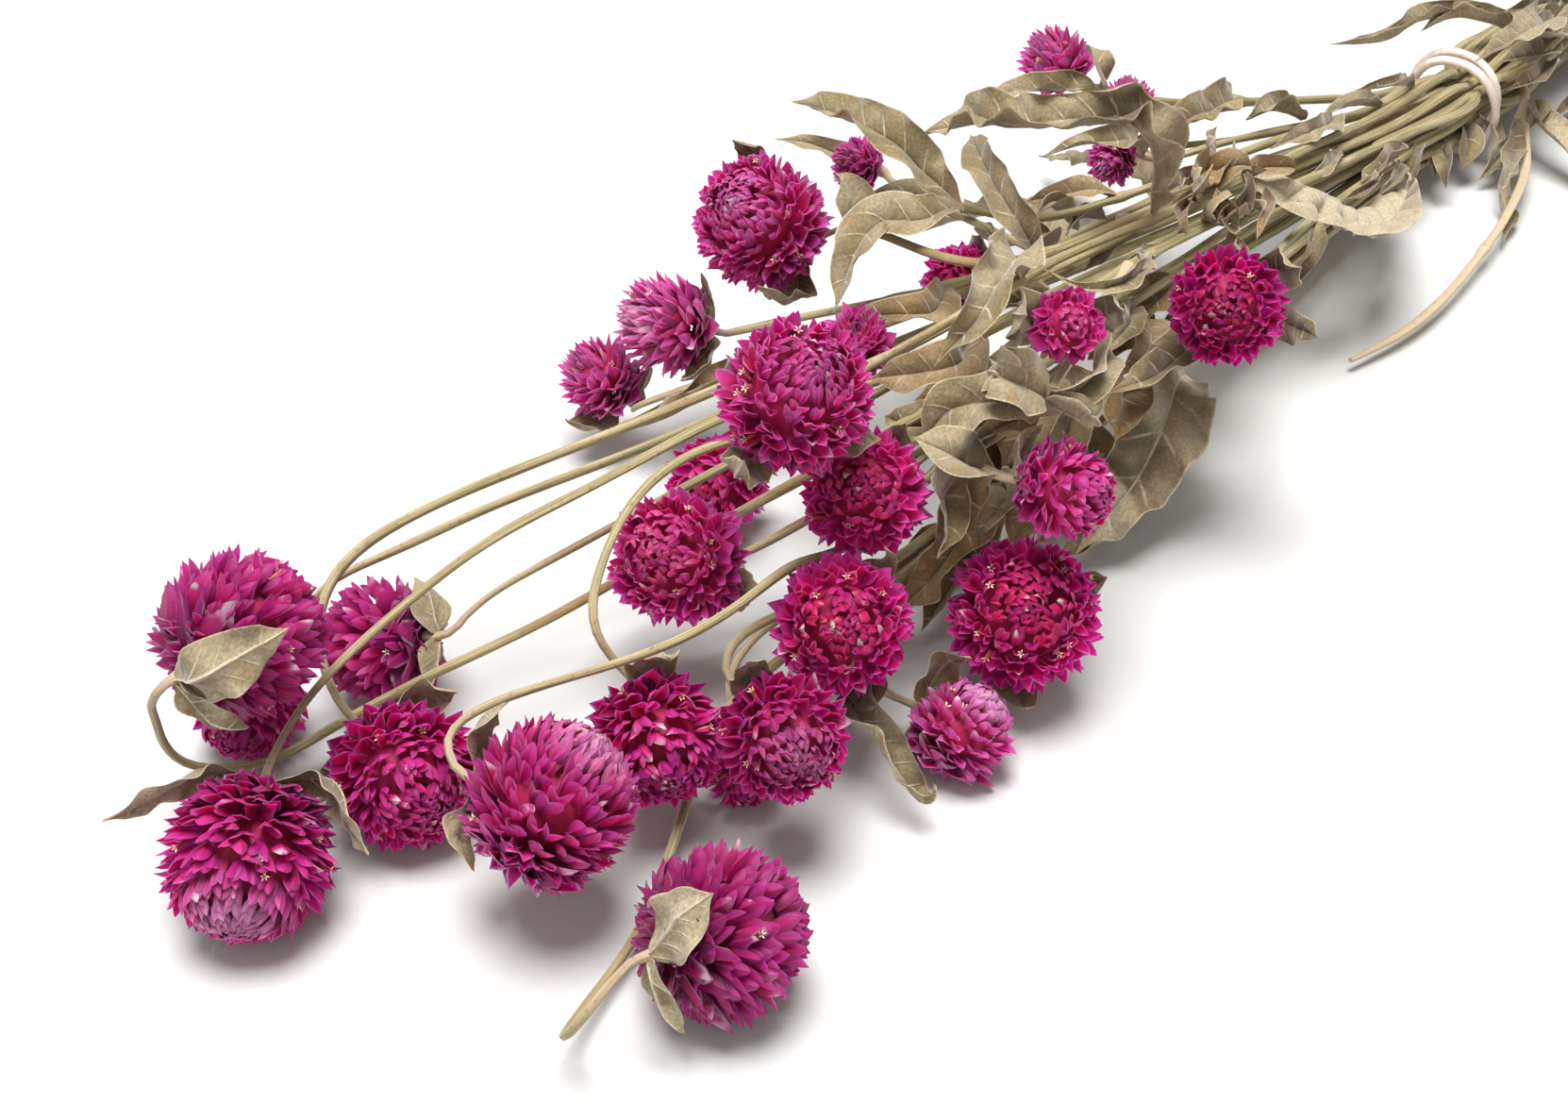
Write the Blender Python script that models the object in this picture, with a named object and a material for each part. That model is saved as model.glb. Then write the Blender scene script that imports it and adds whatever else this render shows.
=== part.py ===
"""A bunch of dried globe amaranth (gomphrena) lying down, tied with a rubber band."""
import math
from collections import namedtuple

import bmesh
import bpy
import numpy as np
from mathutils import Matrix, Vector

MM = 0.001

# Sight lines of the photograph: 50 mm lens, looking 38 degrees down, bunch turned 45 degrees to it
PHOTO_SIZE = (1662, 1187)
FOCAL = 2308.0
LOOK_DOWN = math.radians(38.0)
BUNCH_TURN = math.radians(45.0)
EYE = np.array([-268.1, -172.6, 198]) * MM

AHEAD = np.array([math.sin(BUNCH_TURN), math.cos(BUNCH_TURN), 0.0])
RIGHT = np.array([math.cos(BUNCH_TURN), -math.sin(BUNCH_TURN), 0.0])
FORWARD = AHEAD * math.cos(LOOK_DOWN) - np.array([0, 0, math.sin(LOOK_DOWN)])
UPWARD = np.cross(RIGHT, FORWARD)
Z = np.array([0.0, 0.0, 1.0])


def seen(px, py, height):
    """The point at that height, in millimetres, on the sight line through a photograph pixel."""
    ray = (
        FORWARD
        + RIGHT * (px - PHOTO_SIZE[0] / 2) / FOCAL
        - UPWARD * (py - PHOTO_SIZE[1] / 2) / FOCAL
    )
    return EYE + ray * (height * MM - EYE[2]) / ray[2]


def facing(right, up, toward):
    """A direction given as the photograph shows it."""
    v = RIGHT * right + UPWARD * up - FORWARD * toward
    return v / np.linalg.norm(v)


# A bloom: pixel x, pixel y and height in mm of its middle; diameter in mm; where its crown faces
Bloom = namedtuple("Bloom", "middle across faces")
BLOOMS = {
    "bloom_01": Bloom((258, 670, 29), 20.8, (0.62, 0.50, -0.60)),
    "bloom_02": Bloom((262, 748, 7.5), 15.0, (-0.20, -0.70, 0.60)),
    "bloom_03": Bloom((402, 680, 10), 17.0, (-0.85, -0.10, -0.35)),
    "bloom_04": Bloom((262, 912, 10.4), 20.8, (-0.05, -0.80, 0.60)),
    "bloom_05": Bloom((430, 822, 9.4), 18.8, (0.50, -0.35, 0.75)),
    "bloom_06": Bloom((587, 849, 18.9), 20.8, (0.86, -0.20, 0.35)),
    "bloom_07": Bloom((698, 786, 14.8), 16.6, (0.30, -0.60, 0.70)),
    "bloom_08": Bloom((832, 783, 19), 16.0, (0.25, -0.30, 0.92)),
    "bloom_09": Bloom((789, 817, 4.9), 9.8, (0.10, -0.70, 0.60)),
    "bloom_10": Bloom((768, 988, 10.4), 20.8, (0.78, 0.15, -0.60)),
    "bloom_11": Bloom((893, 663, 23.3), 17.4, (-0.05, 0.00, 1.00)),
    "bloom_12": Bloom((1085, 650, 15), 20.4, (0.00, 0.12, 0.99)),
    "bloom_13": Bloom((1022, 772, 6.7), 13.4, (0.66, -0.28, 0.70)),
    "bloom_14": Bloom((717, 592, 21.8), 17.8, (-0.30, 0.05, 0.95)),
    "bloom_15": Bloom((757, 516, 10), 14.4, (-0.30, -0.50, 0.80)),
    "bloom_16": Bloom((845, 418, 50), 19.4, (0.25, 0.35, 0.90)),
    "bloom_17": Bloom((917, 522, 33), 16.2, (-0.10, 0.10, 0.98)),
    "bloom_18": Bloom((1130, 520, 34), 13.0, (0.80, -0.20, 0.55)),
    "bloom_19": Bloom((1300, 325, 40), 16.2, (-0.15, -0.20, 0.95)),
    "bloom_20": Bloom((1133, 345, 50), 9.4, (0.10, -0.10, 0.98)),
    "bloom_21": Bloom((1012, 298, 22), 11.4, (-0.50, -0.20, 0.80)),
    "bloom_22": Bloom((910, 358, 34), 9.4, (0.00, 0.50, 0.80)),
    "bloom_23": Bloom((805, 235, 38), 20.0, (-0.45, 0.20, 0.87)),
    "bloom_24": Bloom((700, 341, 24), 14.6, (-0.85, 0.10, 0.50)),
    "bloom_25": Bloom((632, 396, 14), 12.2, (-0.60, 0.50, 0.60)),
    "bloom_26": Bloom((905, 172, 40), 7.6, (-0.70, 0.10, 0.60)),
    "bloom_27": Bloom((1115, 62, 36), 11.6, (-0.70, 0.50, 0.50)),
    "bloom_28": Bloom((1196, 106, 38), 8.6, (-0.10, 0.90, 0.30)),
    "bloom_29": Bloom((1176, 172, 34), 7.4, (-0.50, -0.50, 0.50)),
}

# A shoot runs from its bloom back towards the tie through (pixel x, pixel y, height in mm). The first
# shoot of each stem goes on through the tie, and a side shoot ends where it joins the first.
Shoot = namedtuple("Shoot", "bloom route joins", defaults=(None,))
STEMS = {
    "stem_01": [
        Shoot("bloom_01", [(168, 768, 17), (180, 812, 8), (250, 808, 5), (320, 778, 5), (400, 742, 8),
                           (453, 716, 12), (560, 668, 16), (655, 615, 14), (717, 581, 13),
                           (780, 545, 18), (850, 508, 26), (1010, 420, 32), (1180, 320, 30)]),
    ],
    "stem_02": [
        Shoot("bloom_02", [(318, 660, 12), (342, 615, 17), (411, 589, 20), (500, 545, 22),
                           (660, 483, 24), (800, 425, 26)]),
    ],
    "stem_03": [
        Shoot("bloom_03", [(500, 642, 14), (620, 574, 20), (787, 483, 25.5), (930, 410, 33),
                           (1050, 350, 37)]),
    ],
    "stem_04": [
        Shoot("bloom_04", [(318, 750, 15), (345, 715, 18), (430, 640, 22), (520, 570, 27),
                           (620, 520, 30), (770, 440, 34), (935, 382, 38), (1100, 290, 40),
                           (1300, 205, 30)]),
        Shoot("bloom_22", [(952, 373, 30), (990, 355, 34)], (1045, 322, 39)),
    ],
    "stem_05": [
        Shoot("bloom_05", [(350, 735, 15), (336, 630, 20), (365, 588, 24), (480, 525, 28),
                           (560, 493, 29), (640, 462, 30), (790, 400, 32)]),
    ],
    "stem_06": [
        Shoot("bloom_06", [(464, 800, 19.5), (467, 775, 21), (495, 754, 20.5), (560, 730, 21),
                           (660, 702, 26), (740, 672, 28), (800, 632, 29), (870, 577, 29),
                           (1000, 490, 27.5), (1150, 370, 27)]),
    ],
    "stem_07": [
        Shoot("bloom_07", [(622, 665, 24), (642, 588, 27), (680, 520, 31), (735, 476, 33),
                           (790, 464, 33), (950, 400, 32), (1100, 320, 32)]),
    ],
    "stem_08": [
        Shoot("bloom_08", [(768, 728, 19), (757, 692, 22), (790, 666, 23), (840, 650, 20),
                           (960, 590, 16), (1100, 480, 14), (1250, 360, 15)]),
        Shoot("bloom_09", [(776, 765, 8), (768, 712, 13), (802, 670, 16)], (850, 646, 20)),
    ],
    "stem_09": [
        Shoot("bloom_10", [(640, 1052, 16), (600, 1100, 11), (588, 1108, 6), (625, 1060, 3.5),
                           (680, 985, 3.5), (735, 830, 6), (772, 742, 10), (826, 697, 12),
                           (950, 620, 11), (1100, 500, 10), (1250, 380, 12)]),
    ],
    "stem_10": [
        Shoot("bloom_11", [(960, 600, 14), (1080, 500, 19), (1200, 400, 21)]),
        Shoot("bloom_13", [(930, 738, 9), (915, 700, 9)], (950, 640, 10)),
    ],
    "stem_11": [
        Shoot("bloom_12", [(1110, 560, 6), (1180, 470, 12), (1290, 350, 16)]),
    ],
    "stem_12": [
        Shoot("bloom_14", [(760, 600, 14), (860, 548, 18), (960, 490, 24), (1100, 390, 26)]),
        Shoot("bloom_15", [(800, 500, 10), (860, 470, 16)], (960, 450, 24)),
    ],
    "stem_13": [
        Shoot("bloom_16", [(900, 400, 38), (1000, 345, 42), (1100, 285, 43), (1250, 220, 36)]),
    ],
    "stem_14": [
        Shoot("bloom_17", [(960, 500, 26), (1060, 420, 30), (1200, 320, 30)]),
    ],
    "stem_15": [
        Shoot("bloom_18", [(1080, 510, 33), (1030, 495, 33), (985, 470, 34), (1000, 430, 38),
                           (1080, 360, 40), (1200, 280, 38)]),
        Shoot("bloom_20", [(1150, 330, 44), (1180, 310, 42)], (1230, 268, 38)),
        Shoot(None, [(1105, 432, 41), (1122, 402, 42), (1150, 355, 42)], (1195, 285, 38)),
    ],
    "stem_16": [
        Shoot("bloom_19", [(1330, 300, 30), (1370, 250, 24)]),
    ],
    "stem_17": [
        Shoot("bloom_23", [(900, 237, 38), (980, 268, 40), (1050, 284, 42), (1150, 255, 40),
                           (1300, 190, 30)]),
        Shoot("bloom_26", [(940, 190, 38), (1000, 225, 38)], (1090, 278, 40)),
    ],
    "stem_18": [
        Shoot("bloom_24", [(775, 352, 26), (880, 330, 28), (985, 312, 30), (1100, 270, 32),
                           (1300, 200, 26)]),
        Shoot("bloom_25", [(672, 430, 14), (760, 400, 18), (860, 360, 22)], (950, 320, 28)),
    ],
    "stem_19": [
        Shoot("bloom_21", [(1062, 286, 20), (1125, 254, 22), (1280, 190, 22)]),
    ],
    "stem_20": [
        Shoot("bloom_27", [(1160, 92, 36), (1210, 106, 34), (1330, 108, 26), (1440, 105, 17)]),
        Shoot("bloom_28", [(1215, 140, 32), (1250, 128, 30)], (1320, 122, 26)),
    ],
    "stem_21": [
        Shoot("bloom_29", [(1210, 170, 33), (1300, 150, 28)]),
    ],
    "stem_22": [
        Shoot(None, [(1010, 215, 42), (1080, 235, 40), (1200, 205, 36), (1350, 150, 26)]),
    ],
    "stem_23": [
        Shoot(None, [(1290, 262, 24), (1370, 215, 20)]),
        Shoot(None, [(1425, 385, 2.5), (1500, 345, 3), (1575, 262, 4), (1600, 225, 5), (1625, 165, 6)],
              (1655, 100, 8)),
    ],
}

# A leaf grows from the nearest place on a stem to its first point. Width in mm; where its face
# turns at the root and at the tip; how far its two halves fold up, in degrees.
Leaf = namedtuple("Leaf", "route across root_faces tip_faces fold", defaults=(35,))
LEAVES = [
    Leaf([(1243, 200, 42), (1222, 158, 50), (1192, 122, 55), (1150, 130, 56), (1095, 134, 55),
          (1035, 132, 52), (968, 145, 47)], 8.5, (0.5, 0.5, 0.7), (0, 0.5, 0.8)),
    Leaf([(1012, 215, 42), (985, 190, 45), (950, 155, 49), (905, 130, 50), (838, 107, 50)],
         8.0, (-0.3, 0.5, 0.8), (0, 0.3, 0.9)),
    Leaf([(942, 192, 37), (892, 166, 31), (855, 152, 33), (820, 147, 34)],
         4.5, (0, 0.6, 0.8), (0, 0.2, 1)),
    Leaf([(1098, 272, 44), (1082, 240, 48), (1056, 200, 51), (1028, 140, 52)],
         7.5, (-0.2, 0.2, 1), (-0.3, 0.1, 1)),
    Leaf([(1014, 216, 42), (975, 236, 43), (935, 238, 42), (908, 268, 40), (884, 332, 34)],
         7.0, (0, 0.5, 0.8), (-0.3, 0.2, 0.9)),
    Leaf([(1020, 217, 41), (970, 208, 40), (905, 222, 38)], 4.5, (0, 0.6, 0.8), (0, 0.2, 1)),
    Leaf([(893, 232, 38), (902, 205, 42), (884, 184, 44)], 6.0, (0.3, 0.3, 0.9), (0.5, 0.3, 0.8)),
    Leaf([(1195, 206, 36), (1145, 204, 38), (1086, 214, 37)], 4.5, (0, 0.7, 0.7), (0, 0.4, 0.9)),
    Leaf([(1215, 165, 33), (1195, 152, 39), (1150, 153, 41), (1104, 166, 39)],
         5.0, (0, 0.7, 0.7), (0, 0.4, 0.9)),
    Leaf([(1150, 92, 36), (1108, 94, 36), (1042, 103, 34)], 6.0, (0, 0.6, 0.8), (0, 0.4, 0.9)),
    Leaf([(1152, 91, 36), (1164, 72, 40), (1150, 46, 42)], 5.0, (0.6, 0.2, 0.8), (0.7, 0.2, 0.7)),
    Leaf([(1330, 108, 26), (1282, 118, 31), (1245, 142, 31), (1240, 166, 29)],
         7.0, (0, 0.6, 0.8), (-0.3, 0.3, 0.9)),
    Leaf([(1310, 165, 29), (1285, 172, 38), (1265, 205, 40), (1290, 245, 38)],
         8.0, (0, 0.6, 0.8), (0.2, 0, 1)),
    Leaf([(1104, 284, 43), (1078, 278, 50), (1055, 308, 52), (1035, 340, 51), (990, 388, 46)],
         8.0, (0, 0.7, 0.7), (-0.2, 0, 1)),
    Leaf([(1045, 352, 37), (1015, 388, 41), (970, 396, 42), (918, 402, 40)],
         7.5, (0, 0.3, 0.9), (0, 0.3, 0.9)),
    Leaf([(1010, 305, 30), (985, 332, 33), (940, 334, 34), (888, 346, 32)],
         6.0, (0, 0.5, 0.9), (0, 0.5, 0.9)),
    Leaf([(800, 386, 20), (755, 412, 22), (700, 445, 20), (636, 462, 17)],
         6.5, (0, 0.6, 0.8), (0, 0.5, 0.9), 60),
    Leaf([(1262, 255, 37), (1195, 300, 46), (1150, 308, 48), (1108, 286, 50)],
         5.0, (0, 0.4, 0.9), (0, 0.4, 0.9), 65),
    Leaf([(1106, 430, 41), (1082, 410, 44), (1055, 401, 46), (1020, 393, 45)],
         9.0, (0, 0.2, 1), (0, 0.2, 1)),
    Leaf([(1106, 431, 41), (1060, 426, 42), (1008, 434, 41), (975, 472, 37)],
         8.0, (0, 0.3, 0.9), (-0.2, 0.2, 1)),
    Leaf([(1106, 430, 41), (1140, 412, 44), (1156, 378, 45), (1154, 340, 42)],
         7.0, (0.1, -0.2, 1), (0.4, 0, 0.9)),
    Leaf([(1106, 432, 41), (1132, 438, 42), (1164, 454, 42), (1188, 480, 39)],
         5.5, (0, 0.5, 0.9), (0, 0.3, 1), 60),
    Leaf([(1045, 499, 33), (1010, 484, 38), (965, 465, 40)], 7.5, (0, 0.2, 1), (0, 0.3, 1)),
    Leaf([(1106, 432, 41), (1070, 450, 38), (1028, 472, 36)], 5.0, (0, 0.3, 1), (0, 0.4, 0.9), 60),
    Leaf([(1000, 468, 27), (985, 520, 31), (1003, 560, 29), (993, 592, 26)],
         7.5, (0.2, 0, 1), (0.5, 0, 0.9)),
    Leaf([(1010, 460, 25), (1028, 520, 24), (1022, 580, 19), (950, 650, 10)],
         8.0, (0.2, 0.1, 1), (-0.4, 0.2, 0.9)),
    Leaf([(1082, 500, 19), (1065, 528, 24), (1052, 560, 23), (1046, 592, 19)],
         6.0, (-0.2, 0, 1), (-0.4, 0, 0.9), 55),
    Leaf([(1262, 380, 15), (1245, 415, 20), (1228, 465, 17), (1200, 515, 12), (1140, 590, 4)],
         13.0, (0.3, 0.2, 0.9), (-0.2, 0.3, 0.9), 15),
    Leaf([(1355, 265, 25), (1270, 360, 29), (1215, 402, 31), (1165, 420, 31)],
         8.0, (0.2, 0.3, 0.9), (0, 0.4, 0.9)),
    Leaf([(1225, 305, 30), (1192, 350, 36), (1158, 384, 35)], 5.0, (0.3, 0.3, 0.9), (0.3, 0.3, 0.9), 50),
    Leaf([(1210, 435, 13), (1198, 530, 7), (1160, 575, 4), (1108, 600, 2.5)],
         7.0, (0.2, 0.6, 0.8), (0, 0.7, 0.7)),
    Leaf([(1524, 164, 10), (1496, 214, 14), (1455, 245, 20), (1405, 228, 28), (1355, 205, 33),
          (1296, 162, 34)], 9.5, (-0.6, 0.3, 0.8), (0.2, 0.5, 0.8), 50),
    Leaf([(1600, 28, 18), (1555, 14, 24), (1505, 22, 25), (1470, 42, 23), (1410, 47, 19)],
         5.0, (0, 0.5, 0.8), (0, 0.5, 0.9), 55),
    Leaf([(1506, 84, 17), (1480, 90, 23), (1430, 98, 22)], 4.0, (0, 0.6, 0.8), (0, 0.6, 0.8), 55),
    Leaf([(1655, 20, 16), (1630, 28, 26), (1590, 50, 27), (1562, 66, 26)],
         7.0, (0, 0.5, 0.9), (0, 0.5, 0.9)),
    Leaf([(1541, 152, 9.5), (1534, 174, 8), (1532, 200, 4)], 5.5, (-0.6, 0, 0.8), (-0.4, 0.2, 0.9), 60),
    Leaf([(1616, 128, 6.5), (1592, 162, 5), (1566, 192, 2.5)], 6.0, (0.2, 0.1, 1), (0, 0.3, 1), 50),
    Leaf([(1614, 106, 9.5), (1604, 170, 6), (1594, 256, 2.5)], 5.0, (0, 0.6, 0.8), (0, 0.7, 0.7), 40),
    Leaf([(1628, 84, 13), (1648, 148, 7), (1690, 196, 3)], 6.5, (0, 0.6, 0.8), (0, 0.7, 0.7), 30),
    Leaf([(1478, 150, 15), (1470, 172, 20), (1438, 198, 19)], 5.0, (-0.2, 0.3, 1), (0, 0.4, 0.9), 60),
    Leaf([(1440, 130, 19), (1395, 142, 27), (1345, 158, 29)], 5.5, (0, 0.6, 0.8), (0, 0.6, 0.8), 50),
    Leaf([(1390, 230, 21), (1385, 262, 19), (1372, 305, 14)], 5.5, (0.3, 0.3, 0.9), (0.3, 0.3, 0.9), 50),
    Leaf([(932, 736, 9), (905, 742, 13), (938, 798, 8), (996, 890, 2)],
         5.0, (0, 0.5, 0.8), (0.5, 0.6, 0.5), 50),
    # beyond the tie, past the edge of the photograph
    Leaf([(1680, -20, 17), (1640, -28, 22), (1590, -30, 20)], 6.0, (0, 0.6, 0.8), (0, 0.6, 0.8), 50),
    Leaf([(1700, 30, 8), (1690, 80, 4), (1640, 130, 2.5)], 5.5, (0, 0.6, 0.8), (0, 0.7, 0.7), 50),
    # on the far side of the bunch
    Leaf([(1230, 215, 25), (1210, 185, 20), (1140, 170, 10), (1100, 165, 4)],
         7.0, (0, 0.9, 0.3), (0, 0.9, 0.5), 35),
    Leaf([(1160, 250, 31), (1090, 225, 20), (1010, 235, 8), (960, 250, 3)],
         7.5, (0, 0.9, 0.3), (0, 0.9, 0.5), 35),
]


# A small leaf under a bloom: which way it leans out from the neck, as the photograph shows it; how
# far round the bloom it clings, in degrees; how far it then flares straight on, and its width, in mm
Bract = namedtuple("Bract", "bloom leans clings flares across")
BRACTS = [
    Bract("bloom_01", (1.0, 0.35, 0.5), 80, 1.0, 7.0),
    Bract("bloom_01", (0.5, -0.8, 0.3), 48, 0.5, 5.0),
    Bract("bloom_02", (0.6, 0.5, 0.6), 60, 1.0, 4.5),
    Bract("bloom_03", (0.2, 1.0, 0.3), 42, 0.5, 4.5),
    Bract("bloom_03", (0.3, -1.0, 0.4), 42, 0.5, 4.5),
    Bract("bloom_04", (-1.0, 0.1, 0.35), 42, 11.0, 5.0),
    Bract("bloom_04", (1.0, -0.2, 0.35), 56, 7.5, 5.0),
    Bract("bloom_05", (0.9, 0.6, 0.5), 68, 3.0, 5.0),
    Bract("bloom_05", (-0.8, -0.6, 0.3), 55, 0.5, 5.0),
    Bract("bloom_06", (-0.2, -1.0, 0.1), 40, 2.5, 4.0),
    Bract("bloom_06", (0.1, 1.0, 0.4), 50, 1.5, 4.0),
    Bract("bloom_07", (0.2, 1.0, 0.4), 58, 2.0, 5.0),
    Bract("bloom_08", (-0.4, 0.9, 0.4), 62, 2.5, 5.0),
    Bract("bloom_09", (0.8, 0.4, 0.0), 60, 0.5, 4.0),
    Bract("bloom_10", (0.6, 0.7, 0.5), 50, 1.5, 7.0),
    Bract("bloom_10", (0.1, -1.0, 0.3), 42, 0.5, 5.0),
    Bract("bloom_11", (0.4, 0.9, 0.0), 80, 1.0, 5.0),
    Bract("bloom_11", (0.3, -0.9, 0.0), 80, 1.0, 5.0),
    Bract("bloom_12", (0.0, -1.0, 0.0), 85, 1.0, 5.5),
    Bract("bloom_12", (0.9, 0.4, 0.0), 75, 1.0, 5.5),
    Bract("bloom_13", (0.3, 1.0, 0.2), 62, 2.5, 5.0),
    Bract("bloom_13", (-0.2, -1.0, 0.0), 60, 0.5, 4.5),
    Bract("bloom_14", (0.8, -0.5, 0.0), 75, 1.0, 5.0),
    Bract("bloom_15", (0.9, 0.2, 0.3), 62, 0.5, 4.5),
    Bract("bloom_16", (-0.6, -0.8, 0.0), 85, 1.5, 5.5),
    Bract("bloom_16", (0.9, -0.3, 0.0), 70, 1.0, 5.5),
    Bract("bloom_17", (0.5, 0.9, 0.0), 75, 1.0, 5.0),
    Bract("bloom_18", (0.1, 1.0, 0.3), 55, 0.5, 4.5),
    Bract("bloom_19", (1.0, -0.35, 0.2), 72, 8.0, 4.5),
    Bract("bloom_19", (0.9, 0.5, 0.2), 78, 4.5, 5.5),
    Bract("bloom_20", (-1.0, 0.2, 0.0), 105, 1.0, 6.0),
    Bract("bloom_20", (1.0, 0.3, 0.0), 100, 1.5, 4.5),
    Bract("bloom_21", (0.5, 0.9, 0.2), 65, 1.0, 5.0),
    Bract("bloom_23", (-0.3, 1.0, 0.0), 100, 2.5, 5.5),
    Bract("bloom_23", (0.3, -1.0, 0.0), 92, 3.5, 5.5),
    Bract("bloom_24", (0.2, -1.0, 0.3), 66, 1.0, 5.5),
    Bract("bloom_24", (0.0, 1.0, 0.3), 50, 1.0, 4.5),
    Bract("bloom_25", (-0.6, -0.8, 0.2), 80, 1.0, 5.5),
    Bract("bloom_25", (0.8, 0.3, 0.3), 50, 1.0, 4.5),
]

# Sizes that everything else follows, in metres
NECK_RADIUS = 0.6 * MM
TIED_RADIUS = 1.0 * MM
CUT_RADIUS = 1.1 * MM
SIDE_RADIUS = 0.6 * MM
BROKEN_RADIUS = 0.9 * MM
SEAT = 0.76
TIE = seen(1548, 99, 10.9)
TIE_AXIS = np.array([1.0, 0.055, 0.0]) / math.hypot(1.0, 0.055)
TIE_SIDE = np.cross(Z, TIE_AXIS)
TAIL = 94 * MM
CLEAR = 0.85 * MM
LEAF_CLEAR = 0.95 * MM
BLADE = 0.4 * MM
STEP = 2.5 * MM
BAND_RADIUS = 0.85 * MM
BAND_FACET = BAND_RADIUS * math.cos(math.pi / 6)
BAND_DROP = 2.0 * MM
BAND_SPREAD = 2.0 * MM
BAND_BACK = 3.0 * MM

Strand = namedtuple("Strand", "stem first bloom points radii free walked")
Blade = namedtuple("Blade", "stem bloom columns free")


def unit(v):
    return v / np.maximum(np.linalg.norm(v, axis=-1, keepdims=True), 1e-12)


def walk(points):
    """How far along the line each point is."""
    return np.concatenate([[0.0], np.cumsum(np.linalg.norm(np.diff(points, axis=0), axis=1))])


def through(points, step):
    """A smooth line through the points (centripetal Catmull-Rom), in even steps."""
    p = np.asarray(points, float)
    p = np.vstack([2 * p[0] - p[1], p, 2 * p[-1] - p[-2]])
    line = []
    for i in range(1, len(p) - 2):
        gaps = [max(np.linalg.norm(p[i + k] - p[i + k - 1]), 1e-9) ** 0.5 for k in range(3)]
        t0, t1, t2, t3 = np.cumsum([0.0] + gaps)
        u = np.linspace(t1, t2, 24, endpoint=False)[:, None]
        a1 = ((t1 - u) * p[i - 1] + (u - t0) * p[i]) / (t1 - t0)
        a2 = ((t2 - u) * p[i] + (u - t1) * p[i + 1]) / (t2 - t1)
        a3 = ((t3 - u) * p[i + 1] + (u - t2) * p[i + 2]) / (t3 - t2)
        b1 = ((t2 - u) * a1 + (u - t0) * a2) / (t2 - t0)
        b2 = ((t3 - u) * a2 + (u - t1) * a3) / (t3 - t1)
        line.append(((t2 - u) * b1 + (u - t1) * b2) / (t2 - t1))
    line = np.vstack(line + [p[-2]])
    far = walk(line)
    even = np.linspace(0, far[-1], max(4, round(far[-1] / step) + 1))
    return np.stack([np.interp(even, far, line[:, k]) for k in range(3)], 1)


def smooth(v, sigma):
    """A Gaussian mean along the first axis."""
    k = int(3 * sigma)
    weights = np.exp(-0.5 * (np.arange(-k, k + 1) / sigma) ** 2)
    weights /= weights.sum()
    flat = np.pad(v.reshape(len(v), -1), ((k, k), (0, 0)), mode="edge")
    done = np.stack([np.convolve(flat[:, i], weights, "valid") for i in range(flat.shape[1])], 1)
    return done.reshape(v.shape)


def near(a, b, reach):
    """Index pairs of points in a and b that lie within reach."""
    found = []
    bb = (b * b).sum(1)
    for start in range(0, len(a), 1500):
        part = a[start:start + 1500]
        apart = (part * part).sum(1)[:, None] + bb - 2 * part @ b.T
        i, j = np.nonzero(apart < reach * reach)
        found.append(np.stack([i + start, j], 1))
    return np.vstack(found)


def settle_blooms():
    """Each bloom's middle, radius and crown direction, once no two touch and none is in the floor."""
    names = list(BLOOMS)
    middle = np.array([seen(*BLOOMS[n].middle) for n in names])
    radius = np.array([BLOOMS[n].across for n in names]) * MM / 2
    for _ in range(400):
        apart = middle[:, None] - middle
        length = np.linalg.norm(apart, axis=2) + np.eye(len(names))
        over = np.clip(radius[:, None] + radius + 0.35 * MM - length, 0, None)
        np.fill_diagonal(over, 0)
        middle = middle + (apart / length[..., None] * over[..., None] * 0.25).sum(1)
        middle[:, 2] = np.maximum(middle[:, 2], radius)
    return {n: (m, r, facing(*BLOOMS[n].faces)) for n, m, r in zip(names, middle, radius)}


def tie_slots(aims):
    """Places for the stems, packed in a round at the tie, each near the side it comes from."""
    n = len(aims)
    pitch = 2 * TIED_RADIUS + 0.4 * MM
    k = np.arange(n)
    out = pitch * 0.53 * np.sqrt(k + 0.3)
    turn = k * math.pi * (3 - math.sqrt(5))
    slots = np.stack([out * np.cos(turn), out * np.sin(turn)], 1)
    for _ in range(300):
        apart = slots[:, None] - slots
        length = np.linalg.norm(apart, axis=2) + np.eye(n)
        over = np.clip(pitch - length, 0, None)
        np.fill_diagonal(over, 0)
        slots = (slots + (apart / length[..., None] * over[..., None] * 0.3).sum(1)) * 0.9985
    aims = aims - aims.mean(0)
    aims = aims / np.abs(aims).max(0) * np.linalg.norm(slots, axis=1).max()
    order = list(range(n))
    for _ in range(n):
        for i in range(n):
            for j in range(i + 1, n):
                a, b = slots[order[i]], slots[order[j]]
                stay = ((a - aims[i]) ** 2).sum() + ((b - aims[j]) ** 2).sum()
                swap = ((b - aims[i]) ** 2).sum() + ((a - aims[j]) ** 2).sum()
                if swap < stay - 1e-12:
                    order[i], order[j] = order[j], order[i]
    return slots[order]


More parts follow.
